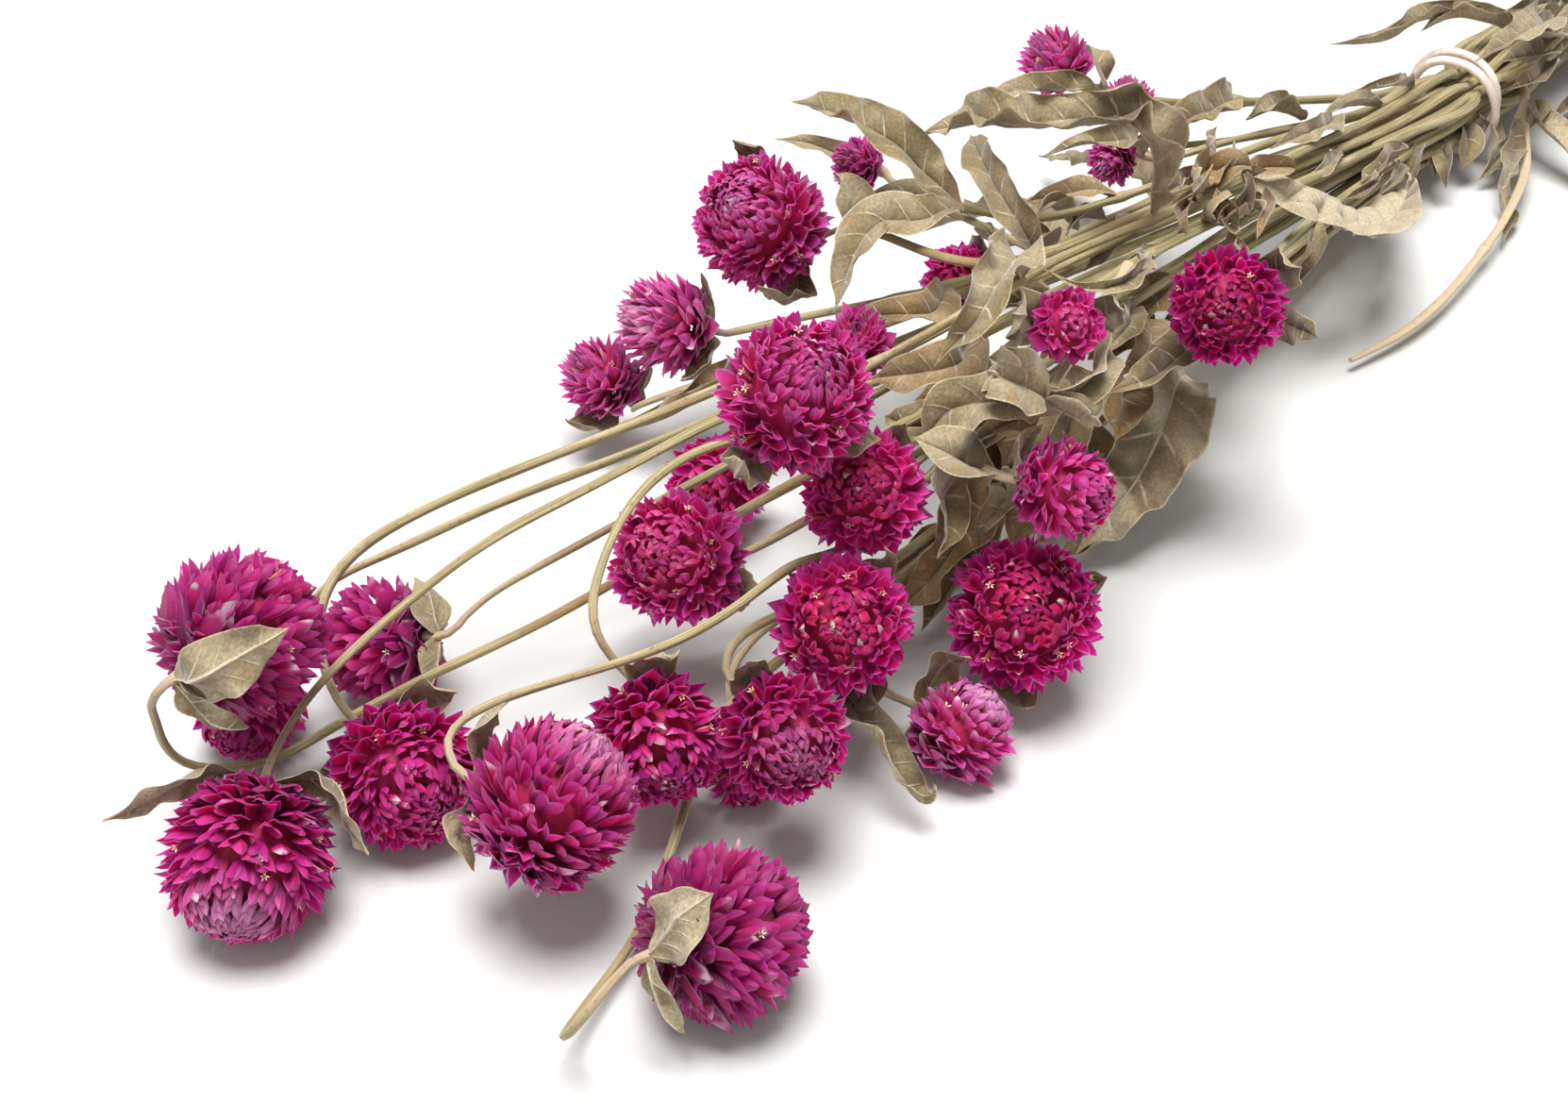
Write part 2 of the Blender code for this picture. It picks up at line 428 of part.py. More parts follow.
def lay_strands(blooms):
    """Every shoot as a line from its bloom, as the photograph shows it, before any is bent clear."""
    aims = []
    for shoots in STEMS.values():
        from_tie = seen(*shoots[0].route[-1]) - TIE
        back = max(-(from_tie @ TIE_AXIS), 20 * MM)
        aims.append([from_tie @ TIE_SIDE / back, from_tie @ Z / back])
    slots = tie_slots(np.array(aims))
    rng = np.random.default_rng(7)
    strands = []
    for (stem, shoots), slot in zip(STEMS.items(), slots):
        for k, shoot in enumerate(shoots):
            guide = []
            if shoot.bloom:
                middle, radius, crown = blooms[shoot.bloom]
                seat = radius * SEAT + 0.7 * MM
                guide += [middle - crown * seat, middle - crown * (radius + 3.5 * MM)]
            guide += [seen(*q) for q in shoot.route]
            if k == 0:
                spread = 1.0 + rng.uniform(0.45, 0.8)
                side = slot[0] * spread + 6 * MM
                rise = max(slot[1] * spread - 2 * MM, CUT_RADIUS - TIE[2])
                tied = TIE + TIE_SIDE * slot[0] + Z * slot[1]
                cut = TIE + TIE_AXIS * (TAIL + rng.uniform(-9, 5) * MM) + TIE_SIDE * side + Z * rise
                guide += [tied - TIE_AXIS * 14 * MM, tied, tied + TIE_AXIS * 10 * MM, cut]
            else:
                guide += [seen(*shoot.joins)]
            points = through(guide, STEP)
            far = walk(points)
            eased = np.clip((far - 2 * MM) / (5 * MM), 0, 1)
            eased = (eased * np.clip((far[-1] - far) / (10 * MM), 0, 1))[:, None]
            points = points * (1 - eased) + smooth(points, 1.5) * eased
            past = (points - TIE) @ TIE_AXIS
            if k == 0:
                grown = np.clip(far / far[np.argmin(np.abs(past))], 0, 1) ** 0.8
                radii = NECK_RADIUS + (TIED_RADIUS - NECK_RADIUS) * grown
                radii = radii + (CUT_RADIUS - TIED_RADIUS) * np.clip(past / TAIL, 0, 1)
                free = np.clip((np.abs(past) - 5 * MM) / (25 * MM), 0, 1)
            else:
                radii = np.full(len(points), SIDE_RADIUS if shoot.bloom else BROKEN_RADIUS)
                free = np.ones(len(points))
            if shoot.bloom:
                free = free * np.clip((far - 10 * MM) / (15 * MM), 0, 1)
            strands.append(Strand(stem, k == 0, shoot.bloom, points, radii, free, far))
    return strands


def part_strands(strands, blooms):
    """Bend the shoots clear of each other, of the blooms and of the floor."""
    names = list(STEMS)
    ends = np.cumsum([0] + [len(s.points) for s in strands])
    spans = [slice(a, b) for a, b in zip(ends[:-1], ends[1:])]
    owner = np.concatenate([np.full(len(s.points), names.index(s.stem)) for s in strands])
    radii = np.concatenate([s.radii for s in strands])
    free = np.concatenate([s.free for s in strands])
    p = np.vstack([s.points for s in strands])
    balls = np.array([b[0] for b in blooms.values()])
    sizes = np.array([b[1] for b in blooms.values()])
    own = np.zeros((len(p), len(balls)), bool)
    firsts = {s.stem: span for s, span in zip(strands, spans) if s.first}
    joints = {}
    for s, span in zip(strands, spans):
        if s.bloom:
            own[span, list(blooms).index(s.bloom)] = s.walked < 16 * MM
        if not s.first:
            apart = np.linalg.norm(p[firsts[s.stem]] - p[span.stop - 1], axis=1)
            joints[span.start] = int(np.argmin(apart))
    for _ in range(14):
        pairs = near(p, p, 7 * MM)
        pairs = pairs[owner[pairs[:, 0]] < owner[pairs[:, 1]]]
        for _ in range(10):
            move = np.zeros_like(p)
            apart = p[pairs[:, 0]] - p[pairs[:, 1]]
            length = np.linalg.norm(apart, axis=1) + 1e-12
            over = radii[pairs].sum(1) + CLEAR - length
            i, j = pairs[over > 0].T
            push = (apart / length[:, None] * over[:, None])[over > 0]
            share = ((free[i] + 1e-3) / (free[i] + free[j] + 2e-3))[:, None]
            np.add.at(move, i, push * share)
            np.add.at(move, j, push * (share - 1))
            touched = np.ones(len(p)) + np.bincount(np.concatenate([i, j]), minlength=len(p))
            move /= np.sqrt(touched)[:, None]
            apart = p[:, None] - balls
            length = np.linalg.norm(apart, axis=2)
            over = np.clip(radii[:, None] + sizes + CLEAR - length, 0, None) * ~own
            move += (apart / length[..., None] * over[..., None]).sum(1)
            move[:, 2] += np.clip(radii + 0.2 * MM - p[:, 2], 0, None)
            for span in spans:
                raw = move[span]
                move[span] = (0.35 * smooth(raw, 1.2) + 1.1 * smooth(raw, 4.0)) * free[span, None]
            p += move
            for s, span in zip(strands, spans):
                if not s.first:
                    off = p[firsts[s.stem]][joints[span.start]] - p[span.stop - 1]
                    n = len(s.points)
                    p[span] += off * np.clip((np.arange(n) - (n - 13)) / 12, 0, 1)[:, None]
    done = []
    for s, span in zip(strands, spans):
        loose = s.free[:, None]
        line = p[span] * (1 - loose) + smooth(p[span], 1.5) * loose
        line[-1] = p[span][-1]
        done.append(s._replace(points=line, walked=walk(line)))
    return done


def band_line(count):
    """A rubber band twice round the stems: apart on top, crossing over itself underneath."""
    turns = (np.arange(count) + 0.5) * 4 * math.pi / count
    wrap = TIE[2] - BAND_DROP - BAND_FACET
    out = wrap + BAND_DROP * np.clip(np.sin(turns / 2), 0, None)
    way = Z * np.cos(turns)[:, None] + TIE_SIDE * np.sin(turns)[:, None]
    past = BAND_SPREAD * np.cos(turns / 2) - BAND_BACK
    return TIE + TIE_AXIS * past[:, None] + way * out[:, None], way


def columns(spine, faces, across, fold):
    """Left edge, midrib and right edge of a blade along its spine."""
    u = np.linspace(0, 1, len(spine))[:, None]
    along = unit(np.gradient(spine, axis=0))
    side = unit(np.cross(along, faces))
    face = np.cross(side, along)
    half = across * MM / 2 * np.sin(np.pi * np.clip(u, 0, 1) ** 0.85) ** 0.75
    half = np.maximum(half, 0.45 * MM)
    bend = math.radians(fold)
    out = side * half * math.cos(bend)
    rise = face * half * math.sin(bend)
    return np.stack([spine - out + rise, spine, spine + out + rise], 1)


def lay_blades(strands, blooms):
    """Every leaf and bract as three lines, before any is bent clear."""
    blades = []
    lines = np.vstack([s.points for s in strands])
    owners = [s.stem for s in strands for _ in s.points]
    for leaf in LEAVES:
        route = [seen(*q) for q in leaf.route]
        start = np.linalg.norm(lines - route[0] * 0.7 - route[1] * 0.3, axis=1).argmin()
        spine = through([lines[start]] + route[1:], 1.6 * MM)
        u = np.linspace(0, 1, len(spine))[:, None]
        faces = unit(facing(*leaf.root_faces) * (1 - u) + facing(*leaf.tip_faces) * u)
        far = walk(spine)
        free = np.clip((far - 1.0 * MM) / (3 * MM), 0, 1)
        block = columns(spine, faces, leaf.across, leaf.fold)
        blades.append(Blade(owners[start], None, block, free))
    stem_of = {s.bloom: s.stem for s in strands if s.bloom}
    for bract in BRACTS:
        middle, radius, crown = blooms[bract.bloom]
        lean = facing(*bract.leans)
        lean = unit(lean - crown * (lean @ crown))
        turn = np.radians(np.linspace(0, bract.clings, 12))[:, None]
        shell = radius * SEAT + 1.8 * MM
        shell = shell + (radius + 1.1 * MM - shell) * np.clip(np.degrees(turn) / 34, 0, 1) ** 1.5
        arc = middle + shell * (lean * np.sin(turn) - crown * np.cos(turn))
        onward = unit(arc[-1] - arc[-2])
        spine = through(np.vstack([arc, arc[-1] + onward * (bract.flares + 0.5) * MM]), 1.3 * MM)
        faces = unit(middle - spine)
        free = np.clip((walk(spine) - 2.5 * MM) / (5 * MM), 0, 1)
        block = columns(spine, faces, bract.across, 12)
        blades.append(Blade(stem_of[bract.bloom], bract.bloom, block, free))
    return blades


def spots(block):
    """Five points across each row of a blade."""
    left, middle, right = block[:, 0], block[:, 1], block[:, 2]
    return np.stack([left, (left + middle) / 2, middle, (middle + right) / 2, right], 1)


def part_blades(blades, strands, blooms):
    """Bend the leaves and bracts clear of the shoots, the blooms, each other and the floor."""
    ends = np.cumsum([0] + [len(b.columns) for b in blades])
    spans = [slice(a, b) for a, b in zip(ends[:-1], ends[1:])]
    owner = np.concatenate([np.full(len(b.columns), k) for k, b in enumerate(blades)])
    free = np.concatenate([b.free for b in blades])
    stems = np.array([b.stem for b in blades])
    block = np.vstack([b.columns for b in blades])
    band = band_line(120)[0]
    fixed = np.vstack([s.points for s in strands] + [band])
    thick = np.concatenate([s.radii for s in strands] + [np.full(len(band), BAND_RADIUS)])
    fixed_stem = np.array([s.stem for s in strands for _ in s.points] + ["band"] * len(band))
    balls = np.array([b[0] for b in blooms.values()])
    sizes = np.array([b[1] for b in blooms.values()])
    own = np.zeros((len(block), len(balls)), bool)
    for b, span in zip(blades, spans):
        if b.bloom:
            own[span, list(blooms).index(b.bloom)] = b.free < 0.55
    owner5 = np.repeat(owner, 5)
    free5 = np.repeat(free, 5)
    own5 = np.repeat(own, 5, axis=0)
    weights = np.array([[1, 0, 0], [0.5, 0.5, 0], [0, 1, 0], [0, 0.5, 0.5], [0, 0, 1]])
    for _ in range(16):
        p = spots(block).reshape(-1, 3)
        leafy = near(p, p, 4.0 * MM)
        leafy = leafy[owner5[leafy[:, 0]] < owner5[leafy[:, 1]]]
        same = stems[owner5[leafy[:, 0]]] == stems[owner5[leafy[:, 1]]]
        leafy = leafy[~(same & (free5[leafy].min(1) < 1))]
        woody = near(p, fixed, 6.0 * MM)
        same = stems[owner5[woody[:, 0]]] == fixed_stem[woody[:, 1]]
        woody = woody[~(same & (free5[woody[:, 0]] < 1))]
        for _ in range(8):
            p = spots(block).reshape(-1, 3)
            move = np.zeros_like(p)
            apart = p[leafy[:, 0]] - p[leafy[:, 1]]
            length = np.linalg.norm(apart, axis=1) + 1e-12
            over = 2 * BLADE + LEAF_CLEAR - length
            i, j = leafy[over > 0].T
            push = (apart / length[:, None] * over[:, None] * 0.5)[over > 0]
            np.add.at(move, i, push)
            np.add.at(move, j, -push)
            a, b = woody.T
            apart = p[a] - fixed[b]
            length = np.linalg.norm(apart, axis=1) + 1e-12
            over = thick[b] + BLADE + LEAF_CLEAR - length
            hit = over > 0
            np.add.at(move, a[hit], (apart / length[:, None] * over[:, None])[hit])
            touched = np.ones(len(p)) + np.bincount(np.concatenate([i, j, a[hit]]), minlength=len(p))
            move /= np.sqrt(touched)[:, None]
            apart = p[:, None] - balls
            length = np.linalg.norm(apart, axis=2)
            over = np.clip(BLADE + sizes + LEAF_CLEAR - length, 0, None) * ~own5
            move += (apart / length[..., None] * over[..., None]).sum(1)
            move[:, 2] += np.clip(BLADE + 0.1 * MM - p[:, 2], 0, None)
            rows = np.einsum("nsk,sc->nck", move.reshape(-1, 5, 3), weights) / weights.sum(0)[:, None]
            whole = move.reshape(-1, 5, 3).mean(1, keepdims=True)
            for span in spans:
                block[span] += (
                    0.4 * smooth(rows[span], 1.0) + 0.9 * smooth(whole[span], 2.0)
                ) * free[span, None, None]
    return [b._replace(columns=block[span]) for b, span in zip(blades, spans)]


def thin_out(block, slack):
    """Which rows of a line, or of several side by side, are enough to draw it within slack."""
    flat = block.reshape(len(block), -1)
    keep = {0, len(flat) - 1}
    spans = [(0, len(flat) - 1)]
    while spans:
        a, b = spans.pop()
        if b - a < 2:
            continue
        chord = flat[b] - flat[a]
        share = np.clip((flat[a:b + 1] - flat[a]) @ chord / max(chord @ chord, 1e-18), 0, 1)
        off = flat[a:b + 1] - flat[a] - share[:, None] * chord
        off = np.linalg.norm(off.reshape(len(off), -1, 3), axis=2).max(1)
        worst = int(off.argmax())
        if off[worst] > slack:
            keep.add(a + worst)
            spans += [(a, a + worst), (a + worst, b)]
    return sorted(keep)


def rings(sections):
    """Vertices and faces of a closed bar through the sections, one ring of points each."""
    count, sides = sections.shape[:2]
    faces = []
    for i in range(count - 1):
        for j in range(sides):
            k = (j + 1) % sides
            faces.append((i * sides + j, i * sides + k, (i + 1) * sides + k, (i + 1) * sides + j))
    faces.append(tuple(reversed(range(sides))))
    faces.append(tuple(range((count - 1) * sides, count * sides)))
    return sections.reshape(-1, 3), faces


def tube(points, radii, sides=5):
    along = unit(np.gradient(points, axis=0))
    out = np.cross(along[0], Z if abs(along[0][2]) < 0.9 else TIE_AXIS)
    turns = np.arange(sides) * 2 * math.pi / sides
    sections = []
    for point, radius, axis in zip(points, radii, along):
        out = unit(out - axis * (out @ axis))
        across = np.cross(axis, out)
        ring = [point + radius * (out * math.cos(t) + across * math.sin(t)) for t in turns]
        sections.append(ring)
    return rings(np.array(sections))


def stem_bar(strand):
    """A shoot that widens a little under its bloom and runs to its cut or to its joint."""
    rows = thin_out(strand.points, 0.35 * MM)
    points = strand.points[rows]
    radii = strand.radii[rows]
    if strand.bloom:
        first = points[1] - points[0]
        collar = points[0] + first * min(0.45, 2.0 * MM / np.linalg.norm(first))
        points = np.vstack([points[:1], collar, points[1:]])
        radii = np.concatenate([[1.15 * MM], radii])
    return tube(points, radii)


def blade_bar(blade):
    """A thin folded leaf, a diamond in section: its two edges, and its midrib above and below."""
    rows = thin_out(blade.columns, 0.38 * MM)
    left, middle, right = blade.columns[rows].transpose(1, 0, 2)
    along = unit(np.gradient(middle, axis=0))
    face = unit(np.cross(unit(right - left), along))
    half = np.full((len(rows), 1), BLADE)
    half[-1] = BLADE * 0.6
    return rings(np.stack([left, middle - face * half, right, middle + face * half], 1))


def bloom_knob(middle, radius, crown, tips, seed):
    """A ball of pointed bracts: a ring of valleys round every tip, with the tips drawn to the crown."""
    rng = np.random.default_rng(seed)
    k = np.arange(tips) + 0.5
    height = 1 - k / tips * (1 + math.cos(math.radians(30)))
    turn = k * math.pi * (3 - math.sqrt(5)) + rng.uniform(0, 6.28)
    flat = np.sqrt(1 - height ** 2)
    heads = np.stack([flat * np.cos(turn), flat * np.sin(turn), height], 1)
    heads = np.vstack([heads, [0, 0, -1]])
    hull = bmesh.new()
    verts = [hull.verts.new(v) for v in heads]
    done = bmesh.ops.convex_hull(hull, input=verts)
    hull.verts.index_update()
    found = [f for f in done["geom"] if isinstance(f, bmesh.types.BMFace)]
    corners = sorted(sorted(verts.index(v) for v in f.verts) for f in found)
    hull.free()
    polar = np.arccos(np.clip(heads[:, 2], -1, 1))
    lean = 0.9 / math.sqrt(tips) * np.sin(polar)
    lean[-1] = 0
    leaned = polar - lean
    around = np.arctan2(heads[:, 1], heads[:, 0])
    out = rng.uniform(0.95, 1.0, len(heads)) - 0.1 * np.clip(polar - 1.9, 0, 1)
    out[-1] = SEAT
    flat = np.sin(leaned)
    points = np.stack([flat * np.cos(around), flat * np.sin(around), np.cos(leaned)], 1) * out[:, None]
    valleys = []
    faces = []
    for corner in corners:
        a, b, c = corner
        if np.cross(heads[b] - heads[a], heads[c] - heads[a]) @ (heads[a] + heads[b] + heads[c]) < 0:
            b, c = c, b
        valleys.append(unit(heads[[a, b, c]].sum(0)) * 0.79)
        v = len(points) + len(valleys) - 1
        faces += [(a, b, v), (b, c, v), (c, a, v)]
    points = np.vstack([points, valleys])
    frame = Vector(crown).to_track_quat("Z", "Y").to_matrix()
    return middle + radius * points @ np.array(frame).T, faces


def make_mesh(name, points, faces):
    mesh = bpy.data.meshes.new(name)
    mesh.from_pydata([tuple(p) for p in points], [], faces)
    edit = bmesh.new()
    edit.from_mesh(mesh)
    bmesh.ops.recalc_face_normals(edit, faces=edit.faces)
    bmesh.ops.triangulate(edit, faces=edit.faces)
    edit.to_mesh(mesh)
    edit.free()
    return mesh


def material(name, colour, roughness):
    made = bpy.data.materials.new(name)
    made.use_nodes = True
    made.diffuse_color = (*colour, 1)
    shader = made.node_tree.nodes["Principled BSDF"]
    shader.inputs["Base Color"].default_value = (*colour, 1)
    shader.inputs["Roughness"].default_value = roughness
    shader.inputs["Metallic"].default_value = 0.0
    return made


def add_part(name, mesh, look, parent):
    part = bpy.data.objects.new(name, mesh)
    middle = Vector(np.mean([v.co for v in mesh.vertices], axis=0))
    mesh.transform(Matrix.Translation(-middle))
    part.location = middle
    part.parent = parent
    mesh.materials.append(look)
    bpy.context.scene.collection.objects.link(part)
    return part


def fuse(part, meshes):
    """Join the other meshes to the part, and keep the result as its own mesh."""
    tools = []
    for mesh in meshes:
        tool = bpy.data.objects.new(mesh.name, mesh)
        bpy.context.scene.collection.objects.link(tool)
        step = part.modifiers.new(mesh.name, "BOOLEAN")
        step.operation = "UNION"
        step.solver = "MANIFOLD"
        step.object = tool
        tools.append(tool)
    bpy.context.view_layer.update()
    depsgraph = bpy.context.evaluated_depsgraph_get()
    done = bpy.data.meshes.new_from_object(part.evaluated_get(depsgraph))
    part.modifiers.clear()
    part.data = done
    for tool in tools:
        bpy.data.objects.remove(tool)


def band_ring():
    """The rubber band's surface, with a small flat spot where it rests."""
    count, sides = 44, 6
    line, way = band_line(count)
    along = unit(np.roll(line, -1, axis=0) - np.roll(line, 1, axis=0))
    across = unit(np.cross(along, way))
    up = np.cross(across, along)
    sections = []
    for j in range(sides):
        t = (j + 0.5) * 2 * math.pi / sides + math.pi / sides
        sections.append(line + BAND_RADIUS * (across * math.cos(t) + up * math.sin(t)))
    sections = np.stack(sections, 1)
    sections[..., 2] = np.where(sections[..., 2] < 0.3 * MM, 0.0, sections[..., 2])
    faces = []
    for i in range(count):
        n = (i + 1) % count
        for j in range(sides):
            k = (j + 1) % sides
            faces.append((i * sides + j, i * sides + k, n * sides + k, n * sides + j))
    return sections.reshape(-1, 3), faces


def main():
    for leftover in list(bpy.data.objects):
        bpy.data.objects.remove(leftover)
    bloom_look = material("bloom_bracts", (0.42, 0.025, 0.20), 0.55)
    stem_look = material("dried_stem_and_leaf", (0.36, 0.31, 0.17), 0.8)
    band_look = material("rubber", (0.80, 0.66, 0.58), 0.6)

    blooms = settle_blooms()
    strands = part_strands(lay_strands(blooms), blooms)
    blades = part_blades(lay_blades(strands, blooms), strands, blooms)

    bunch = bpy.data.objects.new("bunch", None)
    bpy.context.scene.collection.objects.link(bunch)
    for k, (name, (middle, radius, crown)) in enumerate(blooms.items()):
        tips = int(np.clip(radius * 3.0 / MM, 14, 32))
        points, faces = bloom_knob(middle, radius, crown, tips, 60 + k)
        if middle[2] - radius < 0.4 * MM:
            lowest = points[:, 2] < points[:, 2].min() + 0.2 * MM
            points[lowest, 2] = 0.0
        add_part(name, make_mesh(name, points, faces), bloom_look, bunch)
    for stem in STEMS:
        own = [s for s in strands if s.stem == stem]
        stalk = add_part(stem, make_mesh(stem, *stem_bar(own[0])), stem_look, bunch)
        extras = [stem_bar(s) for s in own[1:]]
        extras += [blade_bar(b) for b in blades if b.stem == stem]
        fuse(stalk, [make_mesh("%s_growth_%d" % (stem, k), *e) for k, e in enumerate(extras)])
    add_part("rubber_band", make_mesh("rubber_band", *band_ring()), band_look, bunch)


if __name__ == "__main__":
    main()
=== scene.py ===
"""A bunch of dried globe amaranth (gomphrena) lying down, tied with a rubber band: how it looks."""
import functools
import math
from collections import namedtuple

import bmesh
import bpy
import numpy as np
from bpy.props import FloatProperty, FloatVectorProperty, IntProperty, PointerProperty
from mathutils import Matrix, Vector


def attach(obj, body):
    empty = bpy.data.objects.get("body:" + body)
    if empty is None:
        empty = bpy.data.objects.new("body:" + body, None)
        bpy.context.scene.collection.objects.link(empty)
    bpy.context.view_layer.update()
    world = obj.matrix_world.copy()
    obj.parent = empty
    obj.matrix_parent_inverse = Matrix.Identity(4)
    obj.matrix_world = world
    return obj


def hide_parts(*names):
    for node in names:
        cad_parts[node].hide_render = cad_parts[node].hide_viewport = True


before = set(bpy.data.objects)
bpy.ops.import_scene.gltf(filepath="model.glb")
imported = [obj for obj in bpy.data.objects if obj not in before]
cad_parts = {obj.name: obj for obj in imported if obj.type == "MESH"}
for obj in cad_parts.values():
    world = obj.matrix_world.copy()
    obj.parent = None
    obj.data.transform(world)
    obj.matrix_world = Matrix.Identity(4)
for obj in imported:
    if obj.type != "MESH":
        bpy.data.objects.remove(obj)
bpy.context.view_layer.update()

bl_info = {
    "name": "Dried globe amaranth bunch",
    "version": (1, 0, 0),
    "blender": (4, 5, 0),
    "location": "3D Viewport > Sidebar > Dried bunch",
    "description": "Dresses the bunch's solids in papery heads, felted leaves and ribbed stems",
    "category": "Object",
}

MM = 0.001

# Sight lines of the photograph: 50 mm lens, looking 38 degrees down, bunch turned 45 degrees to it
PHOTO_SIZE = (1662, 1187)
FOCAL = 2308.0
LOOK_DOWN = math.radians(38.0)
BUNCH_TURN = math.radians(45.0)
EYE = np.array([-268.1, -172.6, 198]) * MM

AHEAD = np.array([math.sin(BUNCH_TURN), math.cos(BUNCH_TURN), 0.0])
RIGHT = np.array([math.cos(BUNCH_TURN), -math.sin(BUNCH_TURN), 0.0])
FORWARD = AHEAD * math.cos(LOOK_DOWN) - np.array([0, 0, math.sin(LOOK_DOWN)])
UPWARD = np.cross(RIGHT, FORWARD)
Z = np.array([0.0, 0.0, 1.0])


def seen(px, py, height):
    """The point at that height, in millimetres, on the sight line through a photograph pixel."""
    ray = (
        FORWARD
        + RIGHT * (px - PHOTO_SIZE[0] / 2) / FOCAL
        - UPWARD * (py - PHOTO_SIZE[1] / 2) / FOCAL
    )
    return EYE + ray * (height * MM - EYE[2]) / ray[2]


def facing(right, up, toward):
    """A direction given as the photograph shows it."""
    v = RIGHT * right + UPWARD * up - FORWARD * toward
    return v / np.linalg.norm(v)


# A bloom: pixel x, pixel y and height in mm of its middle; diameter in mm; where its crown faces
Bloom = namedtuple("Bloom", "middle across faces")
BLOOMS = {
    "bloom_01": Bloom((258, 670, 29), 20.8, (0.62, 0.50, -0.60)),
    "bloom_02": Bloom((262, 748, 7.5), 15.0, (-0.20, -0.70, 0.60)),
    "bloom_03": Bloom((402, 680, 10), 17.0, (-0.85, -0.10, -0.35)),
    "bloom_04": Bloom((262, 912, 10.4), 20.8, (-0.05, -0.80, 0.60)),
    "bloom_05": Bloom((430, 822, 9.4), 18.8, (0.50, -0.35, 0.75)),
    "bloom_06": Bloom((587, 849, 18.9), 20.8, (0.86, -0.20, 0.35)),
    "bloom_07": Bloom((698, 786, 14.8), 16.6, (0.30, -0.60, 0.70)),
    "bloom_08": Bloom((832, 783, 19), 16.0, (0.25, -0.30, 0.92)),
    "bloom_09": Bloom((789, 817, 4.9), 9.8, (0.10, -0.70, 0.60)),
    "bloom_10": Bloom((768, 988, 10.4), 20.8, (0.78, 0.15, -0.60)),
    "bloom_11": Bloom((893, 663, 23.3), 17.4, (-0.05, 0.00, 1.00)),
    "bloom_12": Bloom((1085, 650, 15), 20.4, (0.00, 0.12, 0.99)),
    "bloom_13": Bloom((1022, 772, 6.7), 13.4, (0.66, -0.28, 0.70)),
    "bloom_14": Bloom((717, 592, 21.8), 17.8, (-0.30, 0.05, 0.95)),
    "bloom_15": Bloom((757, 516, 10), 14.4, (-0.30, -0.50, 0.80)),
    "bloom_16": Bloom((845, 418, 50), 19.4, (0.25, 0.35, 0.90)),
    "bloom_17": Bloom((917, 522, 33), 16.2, (-0.10, 0.10, 0.98)),
    "bloom_18": Bloom((1130, 520, 34), 13.0, (0.80, -0.20, 0.55)),
    "bloom_19": Bloom((1300, 325, 40), 16.2, (-0.15, -0.20, 0.95)),
    "bloom_20": Bloom((1133, 345, 50), 9.4, (0.10, -0.10, 0.98)),
    "bloom_21": Bloom((1012, 298, 22), 11.4, (-0.50, -0.20, 0.80)),
    "bloom_22": Bloom((910, 358, 34), 9.4, (0.00, 0.50, 0.80)),
    "bloom_23": Bloom((805, 235, 38), 20.0, (-0.45, 0.20, 0.87)),
    "bloom_24": Bloom((700, 341, 24), 14.6, (-0.85, 0.10, 0.50)),
    "bloom_25": Bloom((632, 396, 14), 12.2, (-0.60, 0.50, 0.60)),
    "bloom_26": Bloom((905, 172, 40), 7.6, (-0.70, 0.10, 0.60)),
    "bloom_27": Bloom((1115, 62, 36), 11.6, (-0.70, 0.50, 0.50)),
    "bloom_28": Bloom((1196, 106, 38), 8.6, (-0.10, 0.90, 0.30)),
    "bloom_29": Bloom((1176, 172, 34), 7.4, (-0.50, -0.50, 0.50)),
}

